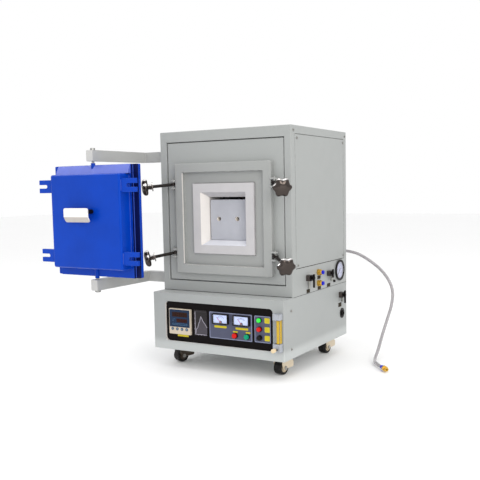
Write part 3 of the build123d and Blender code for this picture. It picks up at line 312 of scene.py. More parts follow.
GREY = (0.318, 0.332, 0.328)
M = {
    "casing": material("casing_paint", GREY, rough=0.38, var=0.02, vscale=2.5, rvar=0.05, bump=0.10, bscale=900,
                       bdist=0.00012, wear=0.45, wearcol=(0.66, 0.67, 0.66), edge=0.0012, dirt=0.05),
    "flange": material("flange_paint", (0.305, 0.315, 0.310), rough=0.40, var=0.03, vscale=4, rvar=0.06, bump=0.22,
                       bscale=420, bdist=0.0003, wear=0.6, wearcol=(0.68, 0.69, 0.68), edge=0.0016, dirt=0.06),
    "blue": material("door_paint", (0.0003, 0.041, 0.395), rough=0.36, var=0.10, vscale=7, rvar=0.08, bump=0.30,
                     bscale=330, bdist=0.0004, wear=0.45, wearcol=(0.16, 0.26, 0.62), spec=0.5, tint=(0.10, 0.30, 1.0), coat=0.10, crough=0.16,
                     edge=0.0016),
    # painted shadow: a dark navy copy of the door paint
    "blue_painted_shadow": material("door_painted_shadow", (0.0004, 0.0035, 0.055), rough=0.5, var=0.15, vscale=9, bump=0.25,
                          bscale=330, bdist=0.0004, spec=0.15, edge=0.0008),
    # painted highlight: a lighter copy of the door paint
    "blue_painted_highlight": material("door_paint_painted_highlight", (0.10, 0.145, 0.56), rough=0.22, var=0.10, vscale=9, rvar=0.06,
                           bump=0.30, bscale=330, bdist=0.0004, wear=0.6, wearcol=(0.5, 0.55, 0.8), coat=0.5,
                           crough=0.10, edge=0.0016),
    # painted shade: a darker copy of the handle paint for its downward-facing facet
    "handle_painted_shade": material("handle_underside_painted_shade", lin(184, 178, 173), rough=0.34, var=0.02, vscale=30, rvar=0.06,
                           bump=0.08, bscale=900, edge=0.0010),
    "fibre": material("fibre_board", (0.465, 0.457, 0.468), rough=0.93, var=0.035, vscale=14, rvar=0.04, bump=0.55,
                      bscale=260, bdist=0.0007, edge=0.0018, spec=0.2, dirt=0.10, dirtcol=(0.62, 0.59, 0.56)),
    "plug": material("plug_fibre", (0.40, 0.41, 0.45), rough=0.95, var=0.04, vscale=16, rvar=0.03, bump=0.5,
                     bscale=300, bdist=0.0006, edge=0.002, spec=0.2, dirt=0.08, dirtcol=(0.5, 0.48, 0.47)),
    "steel": material("vessel_steel", (0.45, 0.45, 0.46), rough=0.42, metal=1.0, var=0.1, vscale=9, bump=0.2,
                      bscale=200, edge=0.001),
    "element": material("element_grey", (0.11, 0.11, 0.12), rough=0.55, metal=0.4, var=0.2, vscale=40, bump=0.3,
                        bscale=600, edge=0),
    "sheath": material("ceramic_sheath", (0.72, 0.68, 0.6), rough=0.5, var=0.06, vscale=30, bump=0.15, bscale=500,
                       edge=0.0004),
    "black_panel": material("panel_black", (0.0040, 0.0026, 0.0027), rough=0.42, spec=0.09, var=0.12, vscale=9, rvar=0.06,
                            bump=0.08, bscale=1200, bdist=0.0001, edge=0.0005),
    "slate": material("plate_slate", (0.072, 0.079, 0.128), rough=0.42, spec=0.3, var=0.05, vscale=14, rvar=0.05, bump=0.08,
                      bscale=1500, bdist=0.0001, edge=0.0003),
    "curve_plate": material("plate_dark", lin(40, 37, 39), rough=0.4, spec=0.2, var=0.08, vscale=20, bump=0.06, bscale=1500,
                            bdist=0.0001, edge=0.0003),
    "lavender": material("plate_line", lin(150, 157, 186), rough=0.45, var=0.04, vscale=40, bump=0.05, bscale=900,
                         edge=0),
    "print": material("print_grey", lin(172, 168, 182), rough=0.5, var=0.06, vscale=60, bump=0.04, bscale=900, edge=0),
    "print_fill": material("print_fill", lin(62, 58, 66), rough=0.45, var=0.1, vscale=50, bump=0.04, bscale=900,
                           edge=0),
    "yellow": material("label_yellow", lin(196, 180, 16), rough=0.45, var=0.06, vscale=50, bump=0.08, bscale=900,
                       edge=0.0003),
    "cream_case": material("controller_case", lin(196, 184, 166), rough=0.45, var=0.03, vscale=20, bump=0.12,
                           bscale=1100, edge=0.0008),
    "ctrl_blue": material("controller_window", lin(8, 36, 66), rough=0.22, spec=0.3, var=0.10, vscale=30, rvar=0.05, bump=0.04,
                          bscale=900, edge=0.0003),
    "display": material("display_dark", lin(34, 12, 6), rough=0.18, spec=0.15, var=0.22, vscale=90, rvar=0.04, bump=0.03,
                        bscale=900, edge=0),
    "display2": material("display_red", lin(42, 8, 10), rough=0.18, spec=0.15, var=0.2, vscale=90, rvar=0.04, bump=0.03,
                         bscale=900, edge=0),
    "ctrl_line": material("controller_line", lin(70, 120, 160), rough=0.4, var=0.08, vscale=60, bump=0.03, bscale=900,
                          edge=0),
    "key": material("key_blue", lin(34, 58, 84), rough=0.38, var=0.06, vscale=60, bump=0.1, bscale=1200,
                    edge=0.0005),
    "key_mark": material("key_mark", lin(140, 168, 190), rough=0.5, var=0.04, vscale=60, bump=0.04, bscale=900,
                         edge=0),
    "black": material("black_plastic", (0.0050, 0.0036, 0.0036), rough=0.38, spec=0.13, var=0.15, vscale=30, rvar=0.08, bump=0.12,
                      bscale=1100, bdist=0.00015, edge=0.0006, wear=0.10, wearcol=(0.05, 0.05, 0.05)),
    # painted light: the meter dials glow a little, though they have no lamp
    "dial": material("dial_white_painted_glow", lin(206, 216, 255), rough=0.5, var=0.02, vscale=40, bump=0.04, bscale=1200, edge=0,
                     emit=0.22),
    "pipe": material("pipe_steel", (0.30, 0.30, 0.28), rough=0.30, metal=1.0, var=0.12, vscale=60, bump=0.1,
                     bscale=500, edge=0.0004),
    "valve_dark": material("valve_body", (0.085, 0.070, 0.065), rough=0.30, metal=0.75, var=0.25, vscale=60, rvar=0.1,
                           bump=0.15, bscale=500, edge=0.0008),
    # painted highlight: a pale cream for recess walls and lips that face the light
    "edge_painted_highlight": material("recess_edge_painted_highlight", (0.74, 0.71, 0.68), rough=0.40, var=0.03, vscale=10, bump=0.10, bscale=900,
                            edge=0.0006),
    # painted shade: dark strips for the shade in gaps between panels, and a grey copy for fainter gaps
    "seam": material("seam_painted_shade", (0.035, 0.034, 0.033), rough=0.7, var=0.2, vscale=20, bump=0.1, bscale=500, edge=0,
                     spec=0.2),
    "seam_light": material("seam_painted_shade_grey", (0.16, 0.165, 0.16), rough=0.7, var=0.2, vscale=20, bump=0.1, bscale=500,
                           edge=0, spec=0.2),
    "ink": material("dial_ink", lin(46, 52, 74), rough=0.6, var=0.1, vscale=80, bump=0.03, bscale=900, edge=0),
    "needle_red": material("needle_red", lin(206, 96, 112), rough=0.4, var=0.05, vscale=60, bump=0.04, bscale=900,
                           edge=0),
    "needle_black": material("needle_black", (0.012, 0.012, 0.013), rough=0.4, var=0.1, vscale=60, bump=0.04,
                             bscale=900, edge=0),
    "green_lamp": material("lamp_green", lin(14, 206, 44), rough=0.2, var=0.08, vscale=70, rvar=0.05, bump=0.06,
                           bscale=500, coat=0.6, edge=0.0004, emit=0.25),
    "red_btn": material("button_red", lin(196, 12, 4), rough=0.28, spec=0.2, var=0.05, vscale=60, rvar=0.06, bump=0.06,
                        bscale=800, coat=0.15, edge=0.0006),
    "green_btn": material("button_green", lin(0, 144, 106), rough=0.28, spec=0.15, var=0.05, vscale=60, rvar=0.06, bump=0.06,
                          bscale=800, coat=0.15, edge=0.0006),
    "black_btn": material("button_black", (0.004, 0.003, 0.003), rough=0.3, spec=0.15, var=0.15, vscale=60, rvar=0.08, bump=0.06,
                          bscale=800, coat=0.1, edge=0.0006),
    # painted reflection: the dark base colour of the chrome stands in for the dark surroundings it reflects
    "chrome": material("chrome_plate", (0.33, 0.305, 0.29), rough=0.12, metal=1.0, var=0.05, vscale=25, rvar=0.05,
                       bump=0.05, bscale=260, bdist=0.0002, edge=0.0006),
    "chrome_body": material("nickel", (0.40, 0.38, 0.355), rough=0.22, metal=1.0, var=0.08, vscale=40, rvar=0.08,
                            bump=0.08, bscale=500, edge=0.0006),
    "block": material("flow_block", lin(164, 168, 176), rough=0.3, metal=0.35, var=0.05, vscale=30, rvar=0.08,
                      bump=0.08, bscale=700, edge=0.0006),
    "acrylic": window_material("acrylic", (0.93, 0.95, 0.96), 0.05, 0.04),
    "glass": window_material("clear_window"),
    "flow_yellow": material("flow_scale", lin(196, 160, 26), rough=0.4, var=0.10, vscale=60, bump=0.06, bscale=900,
                            edge=0),
    "float": material("float_steel", (0.5, 0.5, 0.5), rough=0.3, metal=1.0, var=0.1, vscale=60, bump=0.1, bscale=900,
                      edge=0.0002),
    "cream_knob": material("knob_cream", lin(216, 196, 160), rough=0.36, var=0.05, vscale=50, rvar=0.06, bump=0.08,
                           bscale=900, coat=0.2, edge=0.0006),
    "brass": material("brass", (0.72, 0.46, 0.085), rough=0.26, metal=1.0, var=0.12, vscale=45, rvar=0.10, bump=0.12,
                      bscale=500, edge=0.0006),
    "collar": material("collar_blue", lin(14, 26, 196), rough=0.35, spec=0.3, var=0.05, vscale=60, bump=0.08, bscale=900,
                       edge=0.0006),
    "tag": material("tag_dark", lin(40, 30, 8), rough=0.5, spec=0.12, var=0.25, vscale=120, bump=0.1, bscale=900, edge=0.0003),
    "zinc": material("zinc_screw", (0.38, 0.37, 0.35), rough=0.34, metal=1.0, var=0.12, vscale=90, rvar=0.1,
                     bump=0.12, bscale=700, edge=0.0004),
    # painted shade: dark strokes for the shade in the screws' cross recesses
    "slot_painted_shade": material("screw_slot_painted_shade", (0.02, 0.02, 0.02), rough=0.7, var=0.2, vscale=90, bump=0.05, bscale=900,
                          edge=0),
    "arm": material("arm_paint", (0.40, 0.405, 0.398), rough=0.40, var=0.03, vscale=8, rvar=0.06, bump=0.16,
                    bscale=600, bdist=0.0002, wear=0.5, wearcol=(0.72, 0.72, 0.70), edge=0.0024, dirt=0.07),
    "cap": material("arm_cap", (0.50, 0.50, 0.49), rough=0.42, var=0.04, vscale=40, bump=0.12, bscale=800,
                    edge=0.0008),
    "pin": material("pin_steel", (0.36, 0.36, 0.35), rough=0.35, metal=1.0, var=0.15, vscale=60, rvar=0.1, bump=0.15,
                    bscale=500, edge=0.0006),
    "rod": material("rod_dark", (0.010, 0.007, 0.006), rough=0.38, metal=0.1, spec=0.2, var=0.3, vscale=50, rvar=0.12, bump=0.2,
                    bscale=500, edge=0.0005, wear=0.3, wearcol=(0.35, 0.34, 0.33)),
    "seal": material("seal_cord", lin(176, 70, 52), rough=0.7, var=0.1, vscale=60, bump=0.3, bscale=700, edge=0.0008),
    "handle": material("handle_paint", lin(240, 236, 230), rough=0.34, var=0.02, vscale=30, rvar=0.06, bump=0.08,
                       bscale=900, wear=0.3, wearcol=(0.55, 0.54, 0.5), edge=0.0010),
    "fork": material("fork_cream", lin(206, 192, 168), rough=0.36, var=0.04, vscale=40, rvar=0.08, bump=0.10,
                     bscale=800, coat=0.15, edge=0.0008, dirt=0.10, dirtcol=(0.35, 0.31, 0.25)),
    # painted shade: a dark brown copy of the cream fork colour for the front-left caster under the base
    "fork_painted_shade": material("fork_cream_painted_shade", lin(66, 55, 44), rough=0.34, var=0.10, vscale=40, rvar=0.08, bump=0.12,
                          bscale=800, coat=0.1, edge=0.0008),
    "tyre": material("wheel_rubber", (0.010, 0.009, 0.009), rough=0.55, spec=0.25, var=0.2, vscale=60, rvar=0.1, bump=0.3,
                     bscale=700, edge=0.0008, dirt=0.12, dirtcol=(0.06, 0.056, 0.052)),
    "transformer": material("transformer", (0.06, 0.06, 0.065), rough=0.5, var=0.1, vscale=30, bump=0.2, bscale=300,
                            edge=0.001),
    "hose": material("hose_clear", lin(180, 177, 180), rough=0.22, var=0.04, vscale=30, rvar=0.06, bump=0.05,
                     bscale=400, coat=0.5, edge=0, trans=0.55, ior=1.25),
    "weld": material("weld_bead", (0.001, 0.045, 0.40), rough=0.42, var=0.15, vscale=60, bump=0.5, bscale=500,
                     bdist=0.0005, edge=0.0005, coat=0.2),
}

# painted light: lighter copies of the fibre board for the mouth's left cheek and its sill
M["fibre_side_painted_light"] = material("fibre_cheek_painted_light", (0.72, 0.69, 0.665), rough=0.93, var=0.035, vscale=14, rvar=0.04, bump=0.55,
                           bscale=260, bdist=0.0007, edge=0.0018, spec=0.2)
M["fibre_sill_painted_light"] = material("fibre_sill_painted_light", (0.63, 0.64, 0.69), rough=0.93, var=0.035, vscale=14, rvar=0.04, bump=0.55,
                           bscale=260, bdist=0.0007, edge=0.0018, spec=0.2)
M["grip"] = material("grip_hole", (0.78, 0.74, 0.69), rough=0.95, var=0.04, vscale=30, bump=0.5, bscale=300,
                     bdist=0.0006, edge=0, spec=0.2)
# painted reflection on chrome and nickel: pale on faces turned up, dark on the others
painted_reflection_metal(M["chrome"], (0.085, 0.072, 0.066), (0.95, 0.93, 0.92), 0.30, 0.72)
painted_reflection_metal(M["chrome_body"], (0.16, 0.14, 0.13), (0.80, 0.78, 0.75), 0.15, 0.70)
M["gauge_face"] = material("gauge_face", lin(188, 186, 214), rough=0.5, var=0.04, vscale=40, bump=0.04, bscale=1200,
                           edge=0)
# painted light: a lighter copy of the casing paint for the top of the base's ledge
M["ledge"] = material("ledge_painted_light", (0.43, 0.445, 0.44), rough=0.38, var=0.02, vscale=2.5, rvar=0.05, bump=0.10,
                      bscale=900, bdist=0.00012, edge=0.0012)
# base paint with painted light: lighter towards the foot of the cabinet
M["base"] = painted_foot_light(material("base_paint", (0.322, 0.338, 0.336), rough=0.38, var=0.02, vscale=2.5, rvar=0.05,
                                   bump=0.10, bscale=900, bdist=0.00012, wear=0.45, wearcol=(0.66, 0.67, 0.66),
                                   edge=0.0012, dirt=0.05), 0.088, 0.118, 1.38)

# ------------------------------------------------------------------ the CAD nodes' own materials
NODE_MAT = {
    "upper_casing": "casing", "casing_panels": "casing", "front_panel": "casing", "base_casing": "casing",
    "door_frame": "flange", "mouth_block": "fibre", "vessel": "steel", "insulation": "fibre",
    "heating_elements": "element", "thermocouple": "sheath", "furnace_plug": "plug", "control_panel": "black_panel",
    "instrument_plates": "slate", "controller": "cream_case", "instrument_cases": "black",
    "instrument_windows": "glass", "ammeter_needle": "needle_red", "voltmeter_needle": "needle_red",
    "gauge_needle": "needle_black", "indicator_lamp": "green_lamp", "stop_button": "red_btn",
    "start_button": "green_btn", "power_on_button": "red_btn", "power_off_button": "black_btn",
    "flowmeter_body": "block", "flowmeter_float": "float", "flowmeter_knob": "cream_knob",
    "valve_bodies": "chrome_body", "argon_valve_lever": "black", "exhaust_valve_lever": "black",
    "drain_valve_lever": "black", "gas_fittings": "brass", "hinge_brackets": "arm", "hose_fitting": "brass",
    "casing_screws": "zinc", "cable_gland": "black", "power_unit": "transformer", "door_arms": "arm",
    "door_shell": "blue", "door_lugs": "blue", "door_insulation": "fibre", "door_seal": "seal",
    "door_handle": "handle",
}
BOLTS = {
    "upper_right": (220.0, 689.0, 43.0, 9.5),
    "lower_right": (220.0, 431.0, 49.4, 14.9),
    "upper_left": (-214.0, 689.0, -51.5, 5.1),
    "lower_left": (-214.0, 431.0, -50.6, 10.2),
}
CASTERS = {"front_left": (-219.0, -160.0, -22.0), "front_right": (219.0, -160.0, -10.0),
           "rear_left": (-219.0, 219.0, -8.0), "rear_right": (219.0, 219.0, -8.0)}
for k in BOLTS:
    NODE_MAT["swing_bolt_" + k] = "chrome_body"
for k in CASTERS:
    NODE_MAT["caster_fork_" + k] = "fork"
    NODE_MAT["caster_wheel_" + k] = "tyre"


def paint(name, mats, pick=None):
    """Gives a CAD node its materials; pick(centre in mm, normal) chooses the slot of each face."""
    o = NODES[name]
    me = o.data
    me.materials.clear()
    for k in mats:
        me.materials.append(M[k])
    for p in me.polygons:
        p.material_index = pick(Vector(p.center) * 1000.0, p.normal) if pick else 0
        p.use_smooth = True
    try:
        me.set_sharp_from_angle(angle=math.radians(32))
    except Exception:
        pass


for nm, k in NODE_MAT.items():
    if nm in NODES:
        paint(nm, [k])

paint("instrument_plates", ["slate", "curve_plate", "tag"],
      lambda c, n: 2 if c.x > 275 else (1 if c.x < -35 else 0))
paint("instrument_cases", ["black", "chrome_body"],
      lambda c, n: 0)
paint("controller", ["cream_case", "key", "ctrl_blue"],
      lambda c, n: 1 if (c.y < -281.55 and c.z < 160) else (2 if (abs(c.y + 279.5) < 0.05 and c.z > 160) else 0))
paint("instrument_windows", ["glass", "acrylic"], lambda c, n: 1 if (c.x > 236 and c.y < -270) else 0)
paint("gas_fittings", ["brass", "collar"],
      lambda c, n: 1 if (c.x > 292.9 and c.y < 100) or (c.y > 295 and c.x > 212.5) else 0)
HE = Vector((520.0, 30.0, 11.6))
HD = (Vector((520.0, 30.0, 11.6)) - Vector((478.0, 72.0, 11.6))).normalized()
paint("hose_fitting", ["brass", "collar"], lambda c, n: 1 if (c - HE).dot(HD) < 14.2 else 0)
# door handle: faces turned down get the darker handle paint of painted shade
paint("door_handle", ["handle", "black", "handle_painted_shade"],
      lambda c, n: 1 if (c.y > -517.4 and abs(n.y) < 0.2 and
                         math.hypot(abs(c.x + 428.5) - 48, c.z - 597) < 8.5) else (2 if n.z < -0.15 else 0))
paint("door_arms", ["arm", "pin"],
      lambda c, n: 1 if (math.hypot(c.x + 414, c.y + 435.5) < 11.5 and (c.z > 818.2 or c.z < 303.8 or 344.2 < c.z < 777.8)) else 0)
paint("hinge_brackets", ["arm", "pin"],
      lambda c, n: 1 if math.hypot(c.x + 298, c.y + 134.5) < 8.2 and abs(n.z) < 0.99 else 0)
paint("valve_bodies", ["valve_dark", "black", "pipe", "chrome_body"],
      lambda c, n: 1 if c.x > 294.9 or (abs(c.y - 146) < 6 and abs(c.z - 303) < 6)
      else 2 if (c.y < 0 and c.z < 330.9) or (0 < c.y < 130 and c.z < 328.9) or (c.y > 190 and c.z < 228.9)
      else 3 if c.x < 283.0 else 0)
paint("flowmeter_knob", ["cream_knob", "chrome"], lambda c, n: 1 if (c.y > -309.8) else 0)
paint("flowmeter_body", ["block", "chrome"], lambda c, n: 1 if (c.y < -300.6) else 0)
paint("indicator_lamp", ["green_lamp", "black"], lambda c, n: 1 if c.y > -276.6 else 0)
for bn, (px, pz, al, de) in BOLTS.items():
    a, d = math.radians(al), math.radians(de)
    u = Vector((math.sin(a) * math.cos(d), -math.cos(a) * math.cos(d), -math.sin(d)))
    pv = Vector((px, -221.5, pz))
    paint("swing_bolt_" + bn, ["rod", "chrome_body"],
          lambda c, n, pv=pv, u=u: 1 if (c - pv).dot(u) > 75.3 else 0)
def caster_frame(c, cx, cy, sw):
    """The point in the caster's own frame, where it trails towards -Y."""
    a = math.radians(-sw)
    dx, dy = c.x - cx, c.y - cy
    return Vector((dx * math.cos(a) - dy * math.sin(a), dx * math.sin(a) + dy * math.cos(a), c.z))


# the front-left caster's fork and hub get the dark fork colour of painted shade
for cn, q in CASTERS.items():
    paint("caster_fork_" + cn, ["fork_painted_shade" if cn == "front_left" else "fork", "zinc"],
          lambda c, n, q=q: 1 if abs(caster_frame(c, *q).x) > 20.7 else 0)

    def hub(c, n, q=q):
        v = caster_frame(c, *q)
        return 1 if math.hypot(v.y + 22, v.z - 25) < 16.1 else 0

    paint("caster_wheel_" + cn, ["tyre", "fork_painted_shade" if cn == "front_left" else "fork"], hub)
paint("door_frame", ["flange", "pin"],
      lambda c, n: 1 if any(math.hypot(c.x - b[0], c.y + 221.5) < 8.3 and abs(c.z - b[1]) < 20.5 and
                            (abs(c.z - b[1]) < 10.9 or abs(c.z - b[1]) > 16.9) for b in BOLTS.values())
      and not (abs(n.z) > 0.99 and abs(abs(c.z - 560) - 129) > 11 and False) else 0)


# mouth block: its left cheek and its sill get the lighter fibre of painted light
paint("mouth_block", ["fibre", "fibre_side_painted_light", "fibre_sill_painted_light"],
      lambda c, n: 1 if (0.2 < n.x and abs(c.x - 3) < 125 and -230 < c.y) else
      2 if (n.z > 0.2 and abs(c.z - 561) < 124) else 0)
paint("furnace_plug", ["plug", "grip"],
      lambda c, n: 1 if (abs(n.y) < 0.5 and min(abs(c.x + 36.5), abs(c.x - 42.5)) < 9.5 and abs(c.z - 559) < 9.5) else 0)
# base casing: the control panel recess walls get painted highlight, the top of the ledge painted light
paint("base_casing", ["base", "edge_painted_highlight", "zinc", "ledge"],
      lambda c, n: 1 if (-277.4 < c.y < -271.0 and abs(n.y) < 0.4 and -225 < c.x < 237 and 102 < c.z < 254)
      else 2 if c.z < 69.5 else 3 if (n.z > 0.95 and c.z > 284) else 0)
# door shell: the mid layer's right side faces and the plate front beside them get painted shadow
paint("door_shell", ["blue", "blue_painted_shadow"],
      lambda c, n: 1 if (c.x > -238.5 and -435.6 < c.y < -425.3 and (n.x > 0.9 or n.y < -0.9) and c.x < -214) else 0)


# ------------------------------------------------------------------ mesh building (mm in, metres out)
class Mesh:
    def __init__(self):
        self.bm = bmesh.new()

    def face(self, pts):
        vs = [self.bm.verts.new(Vector(p) / 1000.0) for p in pts]
        return self.bm.faces.new(vs)

    def prism(self, pts_a, pts_b):
        """Two outlines with the same count, joined by sides and closed."""
        va = [self.bm.verts.new(Vector(p) / 1000.0) for p in pts_a]
        vb = [self.bm.verts.new(Vector(p) / 1000.0) for p in pts_b]
        n = len(va)
        self.bm.faces.new(va)
        self.bm.faces.new(list(reversed(vb)))
        for i in range(n):
            j = (i + 1) % n
            self.bm.faces.new((va[j], va[i], vb[i], vb[j]))

    def box(self, x0, x1, y0, y1, z0, z1):
        a = [(x0, y0, z0), (x1, y0, z0), (x1, y0, z1), (x0, y0, z1)]
        b = [(x0, y1, z0), (x1, y1, z0), (x1, y1, z1), (x0, y1, z1)]
        self.prism(a, b)

    def ring(self, outer, inner, shift):
        """A closed frame between two outlines in a plane, thickened by shift."""
        s = Vector(shift)
        n = len(outer)
        o0 = [self.bm.verts.new(Vector(p) / 1000) for p in outer]
        i0 = [self.bm.verts.new(Vector(p) / 1000) for p in inner]
        o1 = [self.bm.verts.new((Vector(p) + s) / 1000) for p in outer]
        i1 = [self.bm.verts.new((Vector(p) + s) / 1000) for p in inner]
        for i in range(n):
            j = (i + 1) % n
            self.bm.faces.new((o0[i], o0[j], i0[j], i0[i]))
            self.bm.faces.new((o1[j], o1[i], i1[i], i1[j]))
            self.bm.faces.new((o0[j], o0[i], o1[i], o1[j]))
            self.bm.faces.new((i0[i], i0[j], i1[j], i1[i]))

    def lathe(self, origin, axis, profile, seg=48, rfun=None):
        """profile: (distance along axis, radius); rfun(angle, radius, k) may shape the ring."""
        axis = Vector(axis).normalized()
        ref = Vector((0, 0, 1)) if abs(axis.z) < 0.9 else Vector((1, 0, 0))
        e1 = ref.cross(axis).normalized()
        e2 = axis.cross(e1)
        rings = []
        for k, (h, r) in enumerate(profile):
            base = Vector(origin) + axis * h
            if r <= 1e-6:
                rings.append([self.bm.verts.new(base / 1000)])
                continue
            vs = []
            for i in range(seg):
                t = 2 * math.pi * i / seg
                rr = rfun(t, r, k) if rfun else r
                vs.append(self.bm.verts.new((base + (e1 * math.cos(t) + e2 * math.sin(t)) * rr) / 1000))
            rings.append(vs)
        for a, b in zip(rings, rings[1:]):
            if len(a) == 1 and len(b) == 1:
                continue
            for i in range(seg):
                j = (i + 1) % seg
                if len(a) == 1:
                    self.bm.faces.new((a[0], b[i], b[j]))
                elif len(b) == 1:
                    self.bm.faces.new((a[j], a[i], b[0]))
                else:
                    self.bm.faces.new((a[j], a[i], b[i], b[j]))

    def stroke(self, p, q, w, normal, thick):
        """A flat bar from p to q, w wide, standing thick off the plane along normal."""
        p, q, n = Vector(p), Vector(q), Vector(normal).normalized()
        s = (q - p).normalized().cross(n) * (w / 2)
        a = [p - s, q - s, q + s, p + s]
        b = [v + n * thick for v in a]
        self.prism(b, a)

    def make(self, name, mat, body="cabinet", slot=None, bevel=0.0, smooth=True, seg=2, angle=35):
        bmesh.ops.recalc_face_normals(self.bm, faces=self.bm.faces)
        me = bpy.data.meshes.new(name)
        self.bm.to_mesh(me)
        self.bm.free()
        o = bpy.data.objects.new(name, me)
        scene.collection.objects.link(o)
        me.materials.append(M[mat])
        if smooth:
            for p in me.polygons:
                p.use_smooth = True
            me.set_sharp_from_angle(angle=math.radians(angle))
        if bevel > 0:
            b = o.modifiers.new("bevel", "BEVEL")
            b.width = bevel / 1000
            b.segments = seg
            b.limit_method = "ANGLE"
            b.angle_limit = math.radians(40)
        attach(o, body)
        return o


def rrect(x0, x1, z0, z1, r, seg=5):
    pts = []
    for cx, cz, a0 in ((x1 - r, z1 - r, 0), (x0 + r, z1 - r, 90), (x0 + r, z0 + r, 180), (x1 - r, z0 + r, 270)):
        for i in range(seg + 1):
            a = math.radians(a0 + 90 * i / seg)
            pts.append((cx + r * math.cos(a), cz + r * math.sin(a)))
    return pts


def xz(pts, y):
    return [(p[0], y, p[1]) for p in pts]


def yz(pts, x):
    return [(x, p[0], p[1]) for p in pts]


# ------------------------------------------------------------------ hose
hose.data.materials.append(M["hose"])
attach(hose, "cabinet")
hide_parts("vacuum_hose")

# ------------------------------------------------------------------ star knobs: domed, six soft lobes
for bn, (px, pz, al, de) in BOLTS.items():
    a, d = math.radians(al), math.radians(de)
    u = Vector((math.sin(a) * math.cos(d), -math.cos(a) * math.cos(d), -math.sin(d)))
    pv = Vector((px, -221.5, pz))
    k = Mesh()
    prof = [(80.2, 6.1), (80.2, 9.6), (81.2, 10.4), (86, 10.6), (88, 9.2), (92, 9.4), (94.2, 14.0)]
    nhub = len(prof)
    prof += [(94.6, 24.0), (95.8, 29.4), (98.2, 32.8), (102, 34.4), (106, 34.2), (110, 32.4), (113, 29.2),
             (115.4, 24.6), (117.0, 18.5), (118.0, 12.0), (118.4, 6.0), (118.5, 0.0)]

    def lobes(t, r, kk):
        if kk < nhub:
            return r
        f = min(1.0, max(0.0, (r - 6.0) / 20.0))
        c = math.cos(6 * t)
        return r * (1 - 0.082 * f) + r * 0.082 * f * c

    k.lathe(pv, u, prof, seg=96, rfun=lobes)
    o = k.make("knob_" + bn, "chrome", "star_knob_" + bn, "chrome_part", angle=60)
    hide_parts("star_knob_" + bn)

# ------------------------------------------------------------------ control panel prints
YP = -271.5          # panel face
YQ = -273.0          # plate face
m = Mesh()
m.ring(xz(rrect(-28.6, 149.1, 129.9, 225.1, 4), YQ), xz(rrect(-27.1, 147.6, 131.4, 223.6, 3), YQ), (0, -0.15, 0))
m.ring(xz(rrect(160.9, 223.6, 130.9, 224.1, 4), YQ), xz(rrect(162.3, 222.2, 132.3, 222.7, 3), YQ), (0, -0.15, 0))
m.make("plate_borders", "lavender", slot="plate_blue_grey")
m = Mesh()
for x0, x1, z0, z1, r, y in (
    (-8, 44, 169, 177, 2.2, YQ), (82, 134.5, 168.5, 176.5, 2.2, YQ), (71, 91, 157, 162.4, 1.5, YQ),
    (124, 143, 157.5, 163, 1.5, YQ), (201, 221.5, 200, 219, 3, YQ - 0.1), (201, 221.5, 168, 187, 3, YQ - 0.1),
    (201, 221.5, 137.5, 156.5, 3, YQ - 0.1), (-174, -125, 121.6, 130.6, 1, YP),
):
    m.prism(xz(rrect(x0, x1, z0, z1, r), y - 0.5), xz(rrect(x0, x1, z0, z1, r), y))
m.make("yellow_labels", "yellow", slot="plate_blue_grey")
# programme curve: frame, axes with ticks, the temperature line and a lighter area under it
zig = [(-89.7, 139.7), (-87.7, 156.1), (-81.8, 160.5), (-75.8, 180.2), (-73.1, 183.5), (-67.2, 204.2), (-57.9, 186.7),
       (-48.6, 175.8), (-40.6, 163.8)]
m = Mesh()
m.prism(xz(zig + [(-40.6, 139.7)], YQ - 0.10), xz(zig + [(-40.6, 139.7)], YQ))
m.make("curve_area", "print_fill", slot="plate_blue_grey")
m = Mesh()
for p, q in zip(zig, zig[1:]):
    m.stroke((p[0], YQ - 0.12, p[1]), (q[0], YQ - 0.12, q[1]), 1.6, (0, -1, 0), 0.2)
m.stroke((-92.5, YQ, 136), (-92.5, YQ, 221), 1.6, (0, -1, 0), 0.22)
m.stroke((-93.2, YQ, 136.5), (-41, YQ, 136.5), 1.6, (0, -1, 0), 0.24)
for z in (156, 176, 196, 214):
    m.stroke((-95.5, YQ, z), (-92.5, YQ, z), 1.4, (0, -1, 0), 0.2)
for x in (-80, -67, -54):
    m.stroke((x, YQ, 133.5), (x, YQ, 136.5), 1.3, (0, -1, 0), 0.2)
m.make("curve_lines", "print", slot="plate_blue_grey")
m = Mesh()
m.ring(xz(rrect(-90.5, -40, 138.5, 222, 4), YQ), xz(rrect(-89.7, -40.8, 139.3, 221.2, 3.4), YQ), (0, -0.12, 0))
m.make("curve_frame", "print_fill", slot="plate_blue_grey")

# controller: window, two displays, marks, keys
YW = -280.75
m = Mesh()
m.prism(xz(rrect(-203.4, -111.8, 158.4, 224.2, 1.5), YW - 0.95), xz(rrect(-203.4, -111.8, 158.4, 224.2, 1.5), YW - 0.7))
m.make("controller_window", "ctrl_blue", slot="controller_case")
m = Mesh()
m.prism(xz(rrect(-190.8, -122.7, 197.0, 214.6, 1), YW - 1.1), xz(rrect(-190.8, -122.7, 197.0, 214.6, 1), YW - 0.8))
m.make("display_upper", "display", slot="controller_case")
m = Mesh()
m.prism(xz(rrect(-171.2, -123.4, 176.2, 190.1, 1), YW - 1.1), xz(rrect(-171.2, -123.4, 176.2, 190.1, 1), YW - 0.8))
m.make("display_lower", "display2", slot="controller_case")
m = Mesh()
m.ring(xz(rrect(-190, -123, 166.0, 171.8, 1), YW - 0.9), xz(rrect(-189.3, -123.7, 166.7, 171.1, 0.6), YW - 0.9),
       (0, -0.1, 0))
for x, z in ((-179, 188), (-187, 187), (-187, 181)):
    m.lathe((x, YW - 0.9, z), (0, -1, 0), [(0, 1.3), (0.2, 1.2), (0.25, 0)], seg=14)
m.make("controller_marks", "ctrl_line", slot="controller_case")
